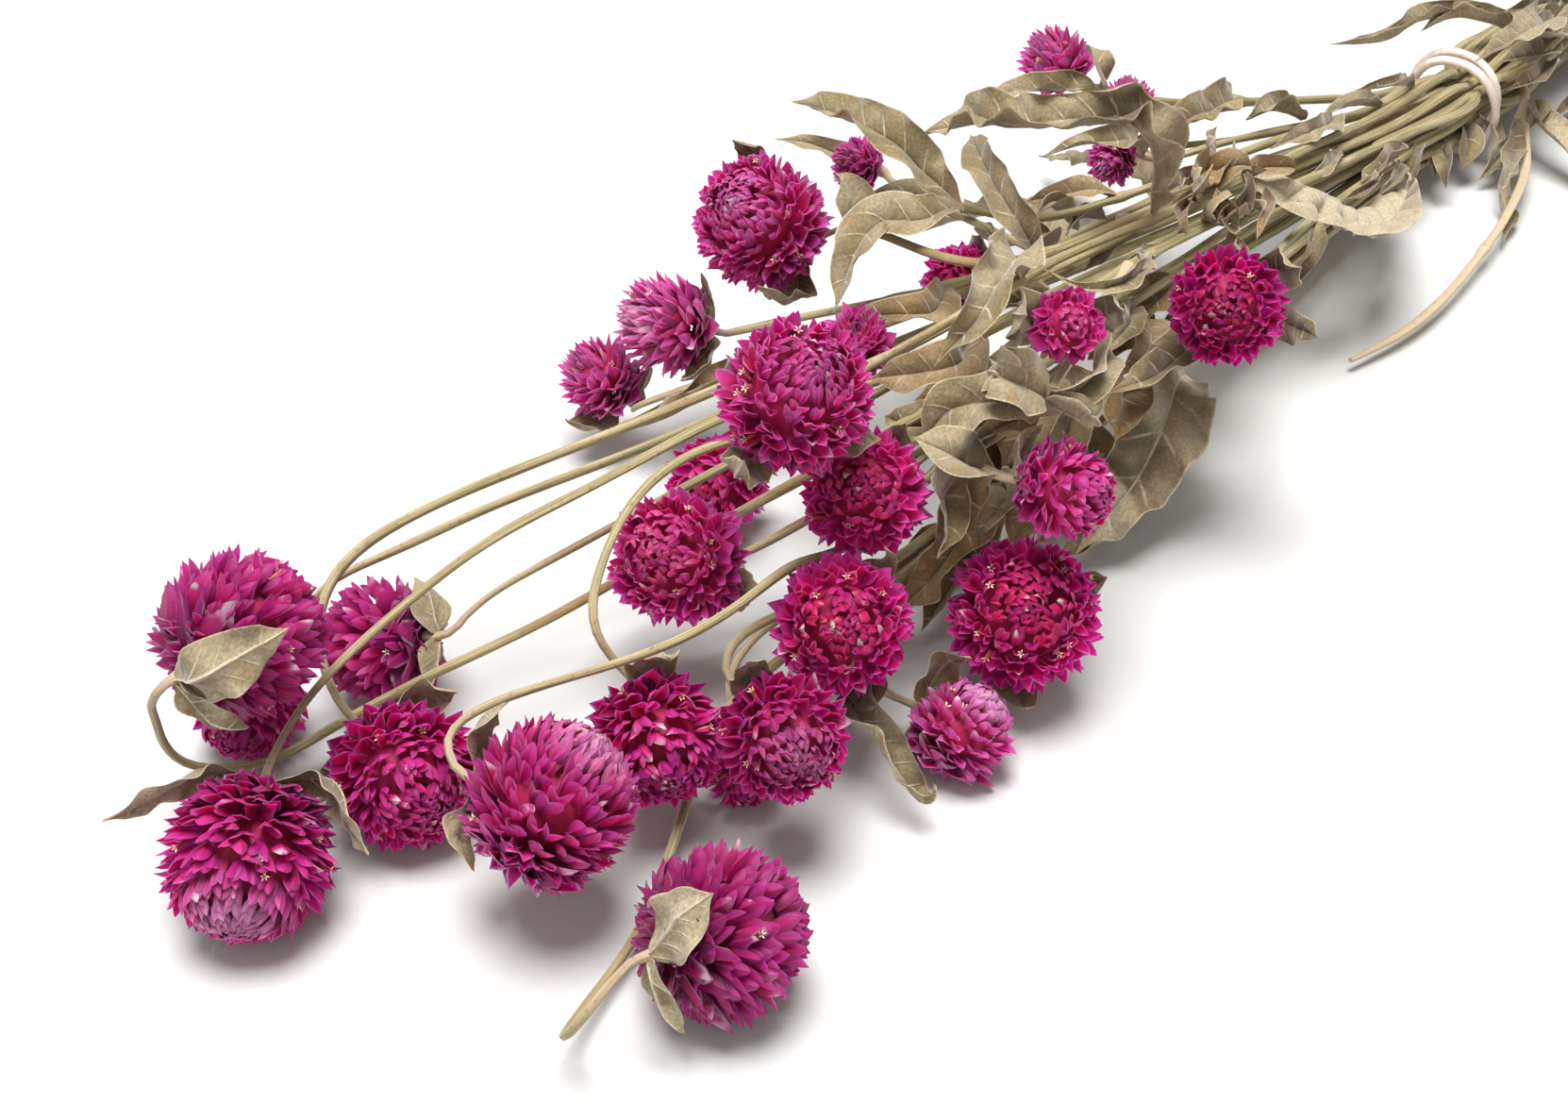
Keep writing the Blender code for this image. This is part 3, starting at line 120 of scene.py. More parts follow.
# A shoot runs from its bloom back towards the tie through (pixel x, pixel y, height in mm). The first
# shoot of each stem goes on through the tie, and a side shoot ends where it joins the first.
Shoot = namedtuple("Shoot", "bloom route joins", defaults=(None,))
STEMS = {
    "stem_01": [Shoot("bloom_01", [(168, 768, 17), (180, 812, 8), (250, 808, 5), (320, 778, 5),
        (400, 742, 8), (453, 716, 12), (560, 668, 16), (655, 615, 14), (717, 581, 13), (780, 545, 18),
        (850, 508, 26), (1010, 420, 32), (1180, 320, 30)])],
    "stem_02": [Shoot("bloom_02", [(318, 660, 12), (342, 615, 17), (411, 589, 20), (500, 545, 22),
        (660, 483, 24), (800, 425, 26)])],
    "stem_03": [Shoot("bloom_03", [(500, 642, 14), (620, 574, 20), (787, 483, 25.5), (930, 410, 33),
        (1050, 350, 37)])],
    "stem_04": [
        Shoot("bloom_04", [(318, 750, 15), (345, 715, 18), (430, 640, 22), (520, 570, 27), (620, 520, 30),
            (770, 440, 34), (935, 382, 38), (1100, 290, 40), (1300, 205, 30)]),
        Shoot("bloom_22", [(952, 373, 30), (990, 355, 34)], (1045, 322, 39)),
    ],
    "stem_05": [Shoot("bloom_05", [(350, 735, 15), (336, 630, 20), (365, 588, 24), (480, 525, 28),
        (560, 493, 29), (640, 462, 30), (790, 400, 32)])],
    "stem_06": [Shoot("bloom_06", [(464, 800, 19.5), (467, 775, 21), (495, 754, 20.5), (560, 730, 21),
        (660, 702, 26), (740, 672, 28), (800, 632, 29), (870, 577, 29), (1000, 490, 27.5),
        (1150, 370, 27)])],
    "stem_07": [Shoot("bloom_07", [(622, 665, 24), (642, 588, 27), (680, 520, 31), (735, 476, 33),
        (790, 464, 33), (950, 400, 32), (1100, 320, 32)])],
    "stem_08": [
        Shoot("bloom_08", [(768, 728, 19), (757, 692, 22), (790, 666, 23), (840, 650, 20), (960, 590, 16),
            (1100, 480, 14), (1250, 360, 15)]),
        Shoot("bloom_09", [(776, 765, 8), (768, 712, 13), (802, 670, 16)], (850, 646, 20)),
    ],
    "stem_09": [Shoot("bloom_10", [(640, 1052, 16), (600, 1100, 11), (588, 1108, 6), (625, 1060, 3.5),
        (680, 985, 3.5), (735, 830, 6), (772, 742, 10), (826, 697, 12), (950, 620, 11), (1100, 500, 10),
        (1250, 380, 12)])],
    "stem_10": [
        Shoot("bloom_11", [(960, 600, 14), (1080, 500, 19), (1200, 400, 21)]),
        Shoot("bloom_13", [(930, 738, 9), (915, 700, 9)], (950, 640, 10)),
    ],
    "stem_11": [Shoot("bloom_12", [(1110, 560, 6), (1180, 470, 12), (1290, 350, 16)])],
    "stem_12": [
        Shoot("bloom_14", [(760, 600, 14), (860, 548, 18), (960, 490, 24), (1100, 390, 26)]),
        Shoot("bloom_15", [(800, 500, 10), (860, 470, 16)], (960, 450, 24)),
    ],
    "stem_13": [Shoot("bloom_16", [(900, 400, 38), (1000, 345, 42), (1100, 285, 43), (1250, 220, 36)])],
    "stem_14": [Shoot("bloom_17", [(960, 500, 26), (1060, 420, 30), (1200, 320, 30)])],
    "stem_15": [
        Shoot("bloom_18", [(1080, 510, 33), (1030, 495, 33), (985, 470, 34), (1000, 430, 38),
            (1080, 360, 40), (1200, 280, 38)]),
        Shoot("bloom_20", [(1150, 330, 44), (1180, 310, 42)], (1230, 268, 38)),
        Shoot(None, [(1105, 432, 41), (1122, 402, 42), (1150, 355, 42)], (1195, 285, 38)),
    ],
    "stem_16": [Shoot("bloom_19", [(1330, 300, 30), (1370, 250, 24)])],
    "stem_17": [
        Shoot("bloom_23", [(900, 237, 38), (980, 268, 40), (1050, 284, 42), (1150, 255, 40),
            (1300, 190, 30)]),
        Shoot("bloom_26", [(940, 190, 38), (1000, 225, 38)], (1090, 278, 40)),
    ],
    "stem_18": [
        Shoot("bloom_24", [(775, 352, 26), (880, 330, 28), (985, 312, 30), (1100, 270, 32),
            (1300, 200, 26)]),
        Shoot("bloom_25", [(672, 430, 14), (760, 400, 18), (860, 360, 22)], (950, 320, 28)),
    ],
    "stem_19": [Shoot("bloom_21", [(1062, 286, 20), (1125, 254, 22), (1280, 190, 22)])],
    "stem_20": [
        Shoot("bloom_27", [(1160, 92, 36), (1210, 106, 34), (1330, 108, 26), (1440, 105, 17)]),
        Shoot("bloom_28", [(1215, 140, 32), (1250, 128, 30)], (1320, 122, 26)),
    ],
    "stem_21": [Shoot("bloom_29", [(1210, 170, 33), (1300, 150, 28)])],
    "stem_22": [Shoot(None, [(1010, 215, 42), (1080, 235, 40), (1200, 205, 36), (1350, 150, 26)])],
    "stem_23": [
        Shoot(None, [(1290, 262, 24), (1370, 215, 20)]),
        Shoot(None, [(1425, 385, 2.5), (1500, 345, 3), (1575, 262, 4), (1600, 225, 5), (1625, 165, 6)],
            (1655, 100, 8)),
    ],
}

# A leaf grows from the nearest place on a stem to its first point. Width in mm; where its face
# turns at the root and at the tip; how far its two halves fold up, in degrees.
Leaf = namedtuple("Leaf", "route across root_faces tip_faces fold", defaults=(35,))
LEAVES = [
    Leaf([(1243, 200, 42), (1222, 158, 50), (1192, 122, 55), (1150, 130, 56), (1095, 134, 55),
        (1035, 132, 52), (968, 145, 47)],
        8.5, (0.5, 0.5, 0.7), (0, 0.5, 0.8)),
    Leaf([(1012, 215, 42), (985, 190, 45), (950, 155, 49), (905, 130, 50), (838, 107, 50)],
        8.0, (-0.3, 0.5, 0.8), (0, 0.3, 0.9)),
    Leaf([(942, 192, 37), (892, 166, 31), (855, 152, 33), (820, 147, 34)], 4.5, (0, 0.6, 0.8), (0, 0.2, 1)),
    Leaf([(1098, 272, 44), (1082, 240, 48), (1056, 200, 51), (1028, 140, 52)],
        7.5, (-0.2, 0.2, 1), (-0.3, 0.1, 1)),
    Leaf([(1014, 216, 42), (975, 236, 43), (935, 238, 42), (908, 268, 40), (884, 332, 34)],
        7.0, (0, 0.5, 0.8), (-0.3, 0.2, 0.9)),
    Leaf([(1020, 217, 41), (970, 208, 40), (905, 222, 38)], 4.5, (0, 0.6, 0.8), (0, 0.2, 1)),
    Leaf([(893, 232, 38), (902, 205, 42), (884, 184, 44)], 6.0, (0.3, 0.3, 0.9), (0.5, 0.3, 0.8)),
    Leaf([(1195, 206, 36), (1145, 204, 38), (1086, 214, 37)], 4.5, (0, 0.7, 0.7), (0, 0.4, 0.9)),
    Leaf([(1215, 165, 33), (1195, 152, 39), (1150, 153, 41), (1104, 166, 39)],
        5.0, (0, 0.7, 0.7), (0, 0.4, 0.9)),
    Leaf([(1150, 92, 36), (1108, 94, 36), (1042, 103, 34)], 6.0, (0, 0.6, 0.8), (0, 0.4, 0.9)),
    Leaf([(1152, 91, 36), (1164, 72, 40), (1150, 46, 42)], 5.0, (0.6, 0.2, 0.8), (0.7, 0.2, 0.7)),
    Leaf([(1330, 108, 26), (1282, 118, 31), (1245, 142, 31), (1240, 166, 29)],
        7.0, (0, 0.6, 0.8), (-0.3, 0.3, 0.9)),
    Leaf([(1310, 165, 29), (1285, 172, 38), (1265, 205, 40), (1290, 245, 38)],
        8.0, (0, 0.6, 0.8), (0.2, 0, 1)),
    Leaf([(1104, 284, 43), (1078, 278, 50), (1055, 308, 52), (1035, 340, 51), (990, 388, 46)],
        8.0, (0, 0.7, 0.7), (-0.2, 0, 1)),
    Leaf([(1045, 352, 37), (1015, 388, 41), (970, 396, 42), (918, 402, 40)],
        7.5, (0, 0.3, 0.9), (0, 0.3, 0.9)),
    Leaf([(1010, 305, 30), (985, 332, 33), (940, 334, 34), (888, 346, 32)],
        6.0, (0, 0.5, 0.9), (0, 0.5, 0.9)),
    Leaf([(800, 386, 20), (755, 412, 22), (700, 445, 20), (636, 462, 17)],
        6.5, (0, 0.6, 0.8), (0, 0.5, 0.9), 60),
    Leaf([(1262, 255, 37), (1195, 300, 46), (1150, 308, 48), (1108, 286, 50)],
        5.0, (0, 0.4, 0.9), (0, 0.4, 0.9), 65),
    Leaf([(1106, 430, 41), (1082, 410, 44), (1055, 401, 46), (1020, 393, 45)], 9.0, (0, 0.2, 1), (0, 0.2, 1)),
    Leaf([(1106, 431, 41), (1060, 426, 42), (1008, 434, 41), (975, 472, 37)],
        8.0, (0, 0.3, 0.9), (-0.2, 0.2, 1)),
    Leaf([(1106, 430, 41), (1140, 412, 44), (1156, 378, 45), (1154, 340, 42)],
        7.0, (0.1, -0.2, 1), (0.4, 0, 0.9)),
    Leaf([(1106, 432, 41), (1132, 438, 42), (1164, 454, 42), (1188, 480, 39)],
        5.5, (0, 0.5, 0.9), (0, 0.3, 1), 60),
    Leaf([(1045, 499, 33), (1010, 484, 38), (965, 465, 40)], 7.5, (0, 0.2, 1), (0, 0.3, 1)),
    Leaf([(1106, 432, 41), (1070, 450, 38), (1028, 472, 36)], 5.0, (0, 0.3, 1), (0, 0.4, 0.9), 60),
    Leaf([(1000, 468, 27), (985, 520, 31), (1003, 560, 29), (993, 592, 26)], 7.5, (0.2, 0, 1), (0.5, 0, 0.9)),
    Leaf([(1010, 460, 25), (1028, 520, 24), (1022, 580, 19), (950, 650, 10)],
        8.0, (0.2, 0.1, 1), (-0.4, 0.2, 0.9)),
    Leaf([(1082, 500, 19), (1065, 528, 24), (1052, 560, 23), (1046, 592, 19)],
        6.0, (-0.2, 0, 1), (-0.4, 0, 0.9), 55),
    Leaf([(1262, 380, 15), (1245, 415, 20), (1228, 465, 17), (1200, 515, 12), (1140, 590, 4)],
        13.0, (0.3, 0.2, 0.9), (-0.2, 0.3, 0.9), 15),
    Leaf([(1355, 265, 25), (1270, 360, 29), (1215, 402, 31), (1165, 420, 31)],
        8.0, (0.2, 0.3, 0.9), (0, 0.4, 0.9)),
    Leaf([(1225, 305, 30), (1192, 350, 36), (1158, 384, 35)], 5.0, (0.3, 0.3, 0.9), (0.3, 0.3, 0.9), 50),
    Leaf([(1210, 435, 13), (1198, 530, 7), (1160, 575, 4), (1108, 600, 2.5)],
        7.0, (0.2, 0.6, 0.8), (0, 0.7, 0.7)),
    Leaf([(1524, 164, 10), (1496, 214, 14), (1455, 245, 20), (1405, 228, 28), (1355, 205, 33),
        (1296, 162, 34)],
        9.5, (-0.6, 0.3, 0.8), (0.2, 0.5, 0.8), 50),
    Leaf([(1600, 28, 18), (1555, 14, 24), (1505, 22, 25), (1470, 42, 23), (1410, 47, 19)],
        5.0, (0, 0.5, 0.8), (0, 0.5, 0.9), 55),
    Leaf([(1506, 84, 17), (1480, 90, 23), (1430, 98, 22)], 4.0, (0, 0.6, 0.8), (0, 0.6, 0.8), 55),
    Leaf([(1655, 20, 16), (1630, 28, 26), (1590, 50, 27), (1562, 66, 26)], 7.0, (0, 0.5, 0.9), (0, 0.5, 0.9)),
    Leaf([(1541, 152, 9.5), (1534, 174, 8), (1532, 200, 4)], 5.5, (-0.6, 0, 0.8), (-0.4, 0.2, 0.9), 60),
    Leaf([(1616, 128, 6.5), (1592, 162, 5), (1566, 192, 2.5)], 6.0, (0.2, 0.1, 1), (0, 0.3, 1), 50),
    Leaf([(1614, 106, 9.5), (1604, 170, 6), (1594, 256, 2.5)], 5.0, (0, 0.6, 0.8), (0, 0.7, 0.7), 40),
    Leaf([(1628, 84, 13), (1648, 148, 7), (1690, 196, 3)], 6.5, (0, 0.6, 0.8), (0, 0.7, 0.7), 30),
    Leaf([(1478, 150, 15), (1470, 172, 20), (1438, 198, 19)], 5.0, (-0.2, 0.3, 1), (0, 0.4, 0.9), 60),
    Leaf([(1440, 130, 19), (1395, 142, 27), (1345, 158, 29)], 5.5, (0, 0.6, 0.8), (0, 0.6, 0.8), 50),
    Leaf([(1390, 230, 21), (1385, 262, 19), (1372, 305, 14)], 5.5, (0.3, 0.3, 0.9), (0.3, 0.3, 0.9), 50),
    Leaf([(932, 736, 9), (905, 742, 13), (938, 798, 8), (996, 890, 2)],
        5.0, (0, 0.5, 0.8), (0.5, 0.6, 0.5), 50),
    # beyond the tie, past the edge of the photograph
    Leaf([(1680, -20, 17), (1640, -28, 22), (1590, -30, 20)], 6.0, (0, 0.6, 0.8), (0, 0.6, 0.8), 50),
    Leaf([(1700, 30, 8), (1690, 80, 4), (1640, 130, 2.5)], 5.5, (0, 0.6, 0.8), (0, 0.7, 0.7), 50),
    # on the far side of the bunch
    Leaf([(1230, 215, 25), (1210, 185, 20), (1140, 170, 10), (1100, 165, 4)],
        7.0, (0, 0.9, 0.3), (0, 0.9, 0.5)),
    Leaf([(1160, 250, 31), (1090, 225, 20), (1010, 235, 8), (960, 250, 3)],
        7.5, (0, 0.9, 0.3), (0, 0.9, 0.5)),
]


# A small leaf under a bloom: which way it leans out from the neck, as the photograph shows it; how
# far round the bloom it clings, in degrees; how far it then flares straight on, and its width, in mm
Bract = namedtuple("Bract", "bloom leans clings flares across")
BRACTS = [
    Bract("bloom_01", (1.0, 0.35, 0.5), 80, 1.0, 7.0),
    Bract("bloom_01", (0.5, -0.8, 0.3), 48, 0.5, 5.0),
    Bract("bloom_02", (0.6, 0.5, 0.6), 60, 1.0, 4.5),
    Bract("bloom_03", (0.2, 1.0, 0.3), 42, 0.5, 4.5),
    Bract("bloom_03", (0.3, -1.0, 0.4), 42, 0.5, 4.5),
    Bract("bloom_04", (-1.0, 0.1, 0.35), 42, 11.0, 5.0),
    Bract("bloom_04", (1.0, -0.2, 0.35), 56, 7.5, 5.0),
    Bract("bloom_05", (0.9, 0.6, 0.5), 68, 3.0, 5.0),
    Bract("bloom_05", (-0.8, -0.6, 0.3), 55, 0.5, 5.0),
    Bract("bloom_06", (-0.2, -1.0, 0.1), 40, 2.5, 4.0),
    Bract("bloom_06", (0.1, 1.0, 0.4), 50, 1.5, 4.0),
    Bract("bloom_07", (0.2, 1.0, 0.4), 58, 2.0, 5.0),
    Bract("bloom_08", (-0.4, 0.9, 0.4), 62, 2.5, 5.0),
    Bract("bloom_09", (0.8, 0.4, 0.0), 60, 0.5, 4.0),
    Bract("bloom_10", (0.6, 0.7, 0.5), 50, 1.5, 7.0),
    Bract("bloom_10", (0.1, -1.0, 0.3), 42, 0.5, 5.0),
    Bract("bloom_11", (0.4, 0.9, 0.0), 80, 1.0, 5.0),
    Bract("bloom_11", (0.3, -0.9, 0.0), 80, 1.0, 5.0),
    Bract("bloom_12", (0.0, -1.0, 0.0), 85, 1.0, 5.5),
    Bract("bloom_12", (0.9, 0.4, 0.0), 75, 1.0, 5.5),
    Bract("bloom_13", (0.3, 1.0, 0.2), 62, 2.5, 5.0),
    Bract("bloom_13", (-0.2, -1.0, 0.0), 60, 0.5, 4.5),
    Bract("bloom_14", (0.8, -0.5, 0.0), 75, 1.0, 5.0),
    Bract("bloom_15", (0.9, 0.2, 0.3), 62, 0.5, 4.5),
    Bract("bloom_16", (-0.6, -0.8, 0.0), 85, 1.5, 5.5),
    Bract("bloom_16", (0.9, -0.3, 0.0), 70, 1.0, 5.5),
    Bract("bloom_17", (0.5, 0.9, 0.0), 75, 1.0, 5.0),
    Bract("bloom_18", (0.1, 1.0, 0.3), 55, 0.5, 4.5),
    Bract("bloom_19", (1.0, -0.35, 0.2), 72, 8.0, 4.5),
    Bract("bloom_19", (0.9, 0.5, 0.2), 78, 4.5, 5.5),
    Bract("bloom_20", (-1.0, 0.2, 0.0), 105, 1.0, 6.0),
    Bract("bloom_20", (1.0, 0.3, 0.0), 100, 1.5, 4.5),
    Bract("bloom_21", (0.5, 0.9, 0.2), 65, 1.0, 5.0),
    Bract("bloom_23", (-0.3, 1.0, 0.0), 100, 2.5, 5.5),
    Bract("bloom_23", (0.3, -1.0, 0.0), 92, 3.5, 5.5),
    Bract("bloom_24", (0.2, -1.0, 0.3), 66, 1.0, 5.5),
    Bract("bloom_24", (0.0, 1.0, 0.3), 50, 1.0, 4.5),
    Bract("bloom_25", (-0.6, -0.8, 0.2), 80, 1.0, 5.5),
    Bract("bloom_25", (0.8, 0.3, 0.3), 50, 1.0, 4.5),
]

# Sizes that everything else follows, in metres; SEAT is a share of a bloom's radius
NECK_RADIUS = 0.6 * MM
TIED_RADIUS = 1.0 * MM
CUT_RADIUS = 1.1 * MM
SIDE_RADIUS = 0.6 * MM
BROKEN_RADIUS = 0.9 * MM
SEAT = 0.76
TIE = seen(1548, 99, 10.9)
TIE_AXIS = np.array([1.0, 0.055, 0.0]) / math.hypot(1.0, 0.055)
TIE_SIDE = np.cross(Z, TIE_AXIS)
TAIL = 94 * MM
NECK = 3.5 * MM
CLEAR = 0.85 * MM
LEAF_CLEAR = 0.95 * MM
BLOOM_CLEAR = 0.35 * MM
SLOT_CLEAR = 0.4 * MM
BLADE = 0.4 * MM
STEP = 2.5 * MM
BAND_RADIUS = 0.85 * MM
BAND_FACET = BAND_RADIUS * math.cos(math.pi / 6)
BAND_DROP = 2.0 * MM
BAND_SPREAD = 2.0 * MM
BAND_BACK = 3.0 * MM
CUT_END_SEED = 7

Strand = namedtuple("Strand", "stem first bloom points radii free walked")
Blade = namedtuple("Blade", "stem bloom columns free")


def unit(v):
    return v / np.maximum(np.linalg.norm(v, axis=-1, keepdims=True), 1e-12)


def walk(points):
    """How far along the line each point is."""
    return np.concatenate([[0.0], np.cumsum(np.linalg.norm(np.diff(points, axis=0), axis=1))])


def through(points, step):
    """A smooth line through the points (centripetal Catmull-Rom), in even steps."""
    p = np.asarray(points, float)
    p = np.vstack([2 * p[0] - p[1], p, 2 * p[-1] - p[-2]])
    line = []
    for i in range(1, len(p) - 2):
        gaps = [max(np.linalg.norm(p[i + k] - p[i + k - 1]), 1e-9) ** 0.5 for k in range(3)]
        t0, t1, t2, t3 = np.cumsum([0.0] + gaps)
        u = np.linspace(t1, t2, 24, endpoint=False)[:, None]
        a1 = ((t1 - u) * p[i - 1] + (u - t0) * p[i]) / (t1 - t0)
        a2 = ((t2 - u) * p[i] + (u - t1) * p[i + 1]) / (t2 - t1)
        a3 = ((t3 - u) * p[i + 1] + (u - t2) * p[i + 2]) / (t3 - t2)
        b1 = ((t2 - u) * a1 + (u - t0) * a2) / (t2 - t0)
        b2 = ((t3 - u) * a2 + (u - t1) * a3) / (t3 - t1)
        line.append(((t2 - u) * b1 + (u - t1) * b2) / (t2 - t1))
    line = np.vstack(line + [p[-2]])
    far = walk(line)
    even = np.linspace(0, far[-1], max(4, round(far[-1] / step) + 1))
    return np.stack([np.interp(even, far, line[:, k]) for k in range(line.shape[1])], 1)


def smooth(v, sigma):
    """A Gaussian mean along the first axis."""
    k = int(3 * sigma)
    weights = np.exp(-0.5 * (np.arange(-k, k + 1) / sigma) ** 2)
    weights /= weights.sum()
    flat = np.pad(v.reshape(len(v), -1), ((k, k), (0, 0)), mode="edge")
    done = np.stack([np.convolve(flat[:, i], weights, "valid") for i in range(flat.shape[1])], 1)
    return done.reshape(v.shape)


def near(a, b, reach):
    """Index pairs of points in a and b that lie within reach."""
    found = []
    bb = (b * b).sum(1)
    for start in range(0, len(a), 1500):
        part = a[start:start + 1500]
        apart = (part * part).sum(1)[:, None] + bb - 2 * part @ b.T
        i, j = np.nonzero(apart < reach * reach)
        found.append(np.stack([i + start, j], 1))
    return np.vstack(found)


def spans_of(parts):
    """The slice that each part takes once they are stacked."""
    ends = np.cumsum([0] + [len(part) for part in parts])
    return [slice(a, b) for a, b in zip(ends[:-1], ends[1:])]


def spaced(places, room, share):
    """The places, each moved by a share of what it lacks to be clear of the others."""
    apart = places[:, None] - places
    length = np.linalg.norm(apart, axis=2) + np.eye(len(places))
    over = np.clip(room - length, 0, None)
    np.fill_diagonal(over, 0)
    return places + (apart / length[..., None] * over[..., None] * share).sum(1)


def pushes(a, b, room):
    """Which pairs of points are too near each other, and how far each of those has to part."""
    apart = a - b
    length = np.linalg.norm(apart, axis=1) + 1e-12
    over = room - length
    return over > 0, (apart / length[:, None] * over[:, None])[over > 0]


def out_of(balls, p, room, own):
    """How far each point has to move out of the balls, apart from its own."""
    apart = p[:, None] - balls
    length = np.linalg.norm(apart, axis=2)
    over = np.clip(room - length, 0, None) * ~own
    return (apart / length[..., None] * over[..., None]).sum(1)


def settle_blooms():
    """Each bloom's middle, radius and crown direction, once no two touch and none is in the floor."""
    names = list(BLOOMS)
    middle = np.array([seen(*BLOOMS[n].middle) for n in names])
    radius = np.array([BLOOMS[n].across for n in names]) * MM / 2
    for _ in range(400):
        middle = spaced(middle, radius[:, None] + radius + BLOOM_CLEAR, 0.25)
        middle[:, 2] = np.maximum(middle[:, 2], radius)
    return {n: (m, r, facing(*BLOOMS[n].faces)) for n, m, r in zip(names, middle, radius)}


def tie_slots(aims):
    """Places for the stems, packed in a round at the tie, each near the side it comes from."""
    n = len(aims)
    pitch = 2 * TIED_RADIUS + SLOT_CLEAR
    k = np.arange(n)
    out = pitch * 0.53 * np.sqrt(k + 0.3)
    turn = k * math.pi * (3 - math.sqrt(5))
    slots = np.stack([out * np.cos(turn), out * np.sin(turn)], 1)
    for _ in range(300):
        slots = spaced(slots, pitch, 0.3) * 0.9985
    aims = aims - aims.mean(0)
    aims = aims / np.abs(aims).max(0) * np.linalg.norm(slots, axis=1).max()
    order = list(range(n))
    for _ in range(n):
        for i in range(n):
            for j in range(i + 1, n):
                a, b = slots[order[i]], slots[order[j]]
                stay = ((a - aims[i]) ** 2).sum() + ((b - aims[j]) ** 2).sum()
                swap = ((b - aims[i]) ** 2).sum() + ((a - aims[j]) ** 2).sum()
                if swap < stay - 1e-12:
                    order[i], order[j] = order[j], order[i]
    return slots[order]


def lay_strands(blooms):
    """Every shoot as a line from its bloom, as the photograph shows it, before any is bent clear."""
    aims = []
    for shoots in STEMS.values():
        from_tie = seen(*shoots[0].route[-1]) - TIE
        back = max(-(from_tie @ TIE_AXIS), 20 * MM)
        aims.append([from_tie @ TIE_SIDE / back, from_tie @ Z / back])
    slots = tie_slots(np.array(aims))
    rng = np.random.default_rng(CUT_END_SEED)
    strands = []
    for (stem, shoots), slot in zip(STEMS.items(), slots):
        for k, shoot in enumerate(shoots):
            guide = []
            if shoot.bloom:
                middle, radius, crown = blooms[shoot.bloom]
                seat = radius * SEAT + 0.7 * MM
                guide += [middle - crown * seat, middle - crown * (radius + NECK)]
            guide += [seen(*q) for q in shoot.route]
            if k == 0:
                spread = 1.0 + rng.uniform(0.45, 0.8)
                side = slot[0] * spread + 6 * MM
                rise = max(slot[1] * spread - 2 * MM, CUT_RADIUS - TIE[2])
                tied = TIE + TIE_SIDE * slot[0] + Z * slot[1]
                cut = TIE + TIE_AXIS * (TAIL + rng.uniform(-9, 5) * MM) + TIE_SIDE * side + Z * rise
                guide += [tied - TIE_AXIS * 14 * MM, tied, tied + TIE_AXIS * 10 * MM, cut]
            else:
                guide += [seen(*shoot.joins)]
            points = through(guide, STEP)
            far = walk(points)
            eased = np.clip((far - 2 * MM) / (5 * MM), 0, 1)
            eased = (eased * np.clip((far[-1] - far) / (10 * MM), 0, 1))[:, None]
            points = points * (1 - eased) + smooth(points, 1.5) * eased
            past = (points - TIE) @ TIE_AXIS
            if k == 0:
                grown = np.clip(far / far[np.argmin(np.abs(past))], 0, 1) ** 0.8
                radii = NECK_RADIUS + (TIED_RADIUS - NECK_RADIUS) * grown
                radii = radii + (CUT_RADIUS - TIED_RADIUS) * np.clip(past / TAIL, 0, 1)
                free = np.clip((np.abs(past) - 5 * MM) / (25 * MM), 0, 1)
            else:
                radii = np.full(len(points), SIDE_RADIUS if shoot.bloom else BROKEN_RADIUS)
                free = np.ones(len(points))
            if shoot.bloom:
                free = free * np.clip((far - 10 * MM) / (15 * MM), 0, 1)
            strands.append(Strand(stem, k == 0, shoot.bloom, points, radii, free, far))
    return strands


def part_strands(strands, blooms):
    """Bend the shoots clear of each other, of the blooms and of the floor."""
    names = list(STEMS)
    spans = spans_of([s.points for s in strands])
    owner = np.concatenate([np.full(len(s.points), names.index(s.stem)) for s in strands])
    radii = np.concatenate([s.radii for s in strands])
    free = np.concatenate([s.free for s in strands])
    p = np.vstack([s.points for s in strands])
    balls = np.array([b[0] for b in blooms.values()])
    sizes = np.array([b[1] for b in blooms.values()])
    own = np.zeros((len(p), len(balls)), bool)
    firsts = {s.stem: span for s, span in zip(strands, spans) if s.first}
    joints = {}
    for s, span in zip(strands, spans):
        if s.bloom:
            own[span, list(blooms).index(s.bloom)] = s.walked < 16 * MM
        if not s.first:
            apart = np.linalg.norm(p[firsts[s.stem]] - p[span.stop - 1], axis=1)
            joints[span.start] = int(np.argmin(apart))
    for _ in range(14):
        pairs = near(p, p, 7 * MM)
        pairs = pairs[owner[pairs[:, 0]] < owner[pairs[:, 1]]]
        for _ in range(10):
            move = np.zeros_like(p)
            tight, push = pushes(p[pairs[:, 0]], p[pairs[:, 1]], radii[pairs].sum(1) + CLEAR)
            i, j = pairs[tight].T
            share = ((free[i] + 1e-3) / (free[i] + free[j] + 2e-3))[:, None]
            np.add.at(move, i, push * share)
            np.add.at(move, j, push * (share - 1))
            touched = np.ones(len(p)) + np.bincount(np.concatenate([i, j]), minlength=len(p))
            move /= np.sqrt(touched)[:, None]
            move += out_of(balls, p, radii[:, None] + sizes + CLEAR, own)
            move[:, 2] += np.clip(radii + 0.2 * MM - p[:, 2], 0, None)
            for span in spans:
                raw = move[span]
                move[span] = (0.35 * smooth(raw, 1.2) + 1.1 * smooth(raw, 4.0)) * free[span, None]
            p += move
            for s, span in zip(strands, spans):
                if not s.first:
                    off = p[firsts[s.stem]][joints[span.start]] - p[span.stop - 1]
                    n = len(s.points)
                    p[span] += off * np.clip((np.arange(n) - (n - 13)) / 12, 0, 1)[:, None]
    done = []
    for s, span in zip(strands, spans):
        loose = s.free[:, None]
        line = p[span] * (1 - loose) + smooth(p[span], 1.5) * loose
        line[-1] = p[span][-1]
        done.append(s._replace(points=line, walked=walk(line)))
    return done


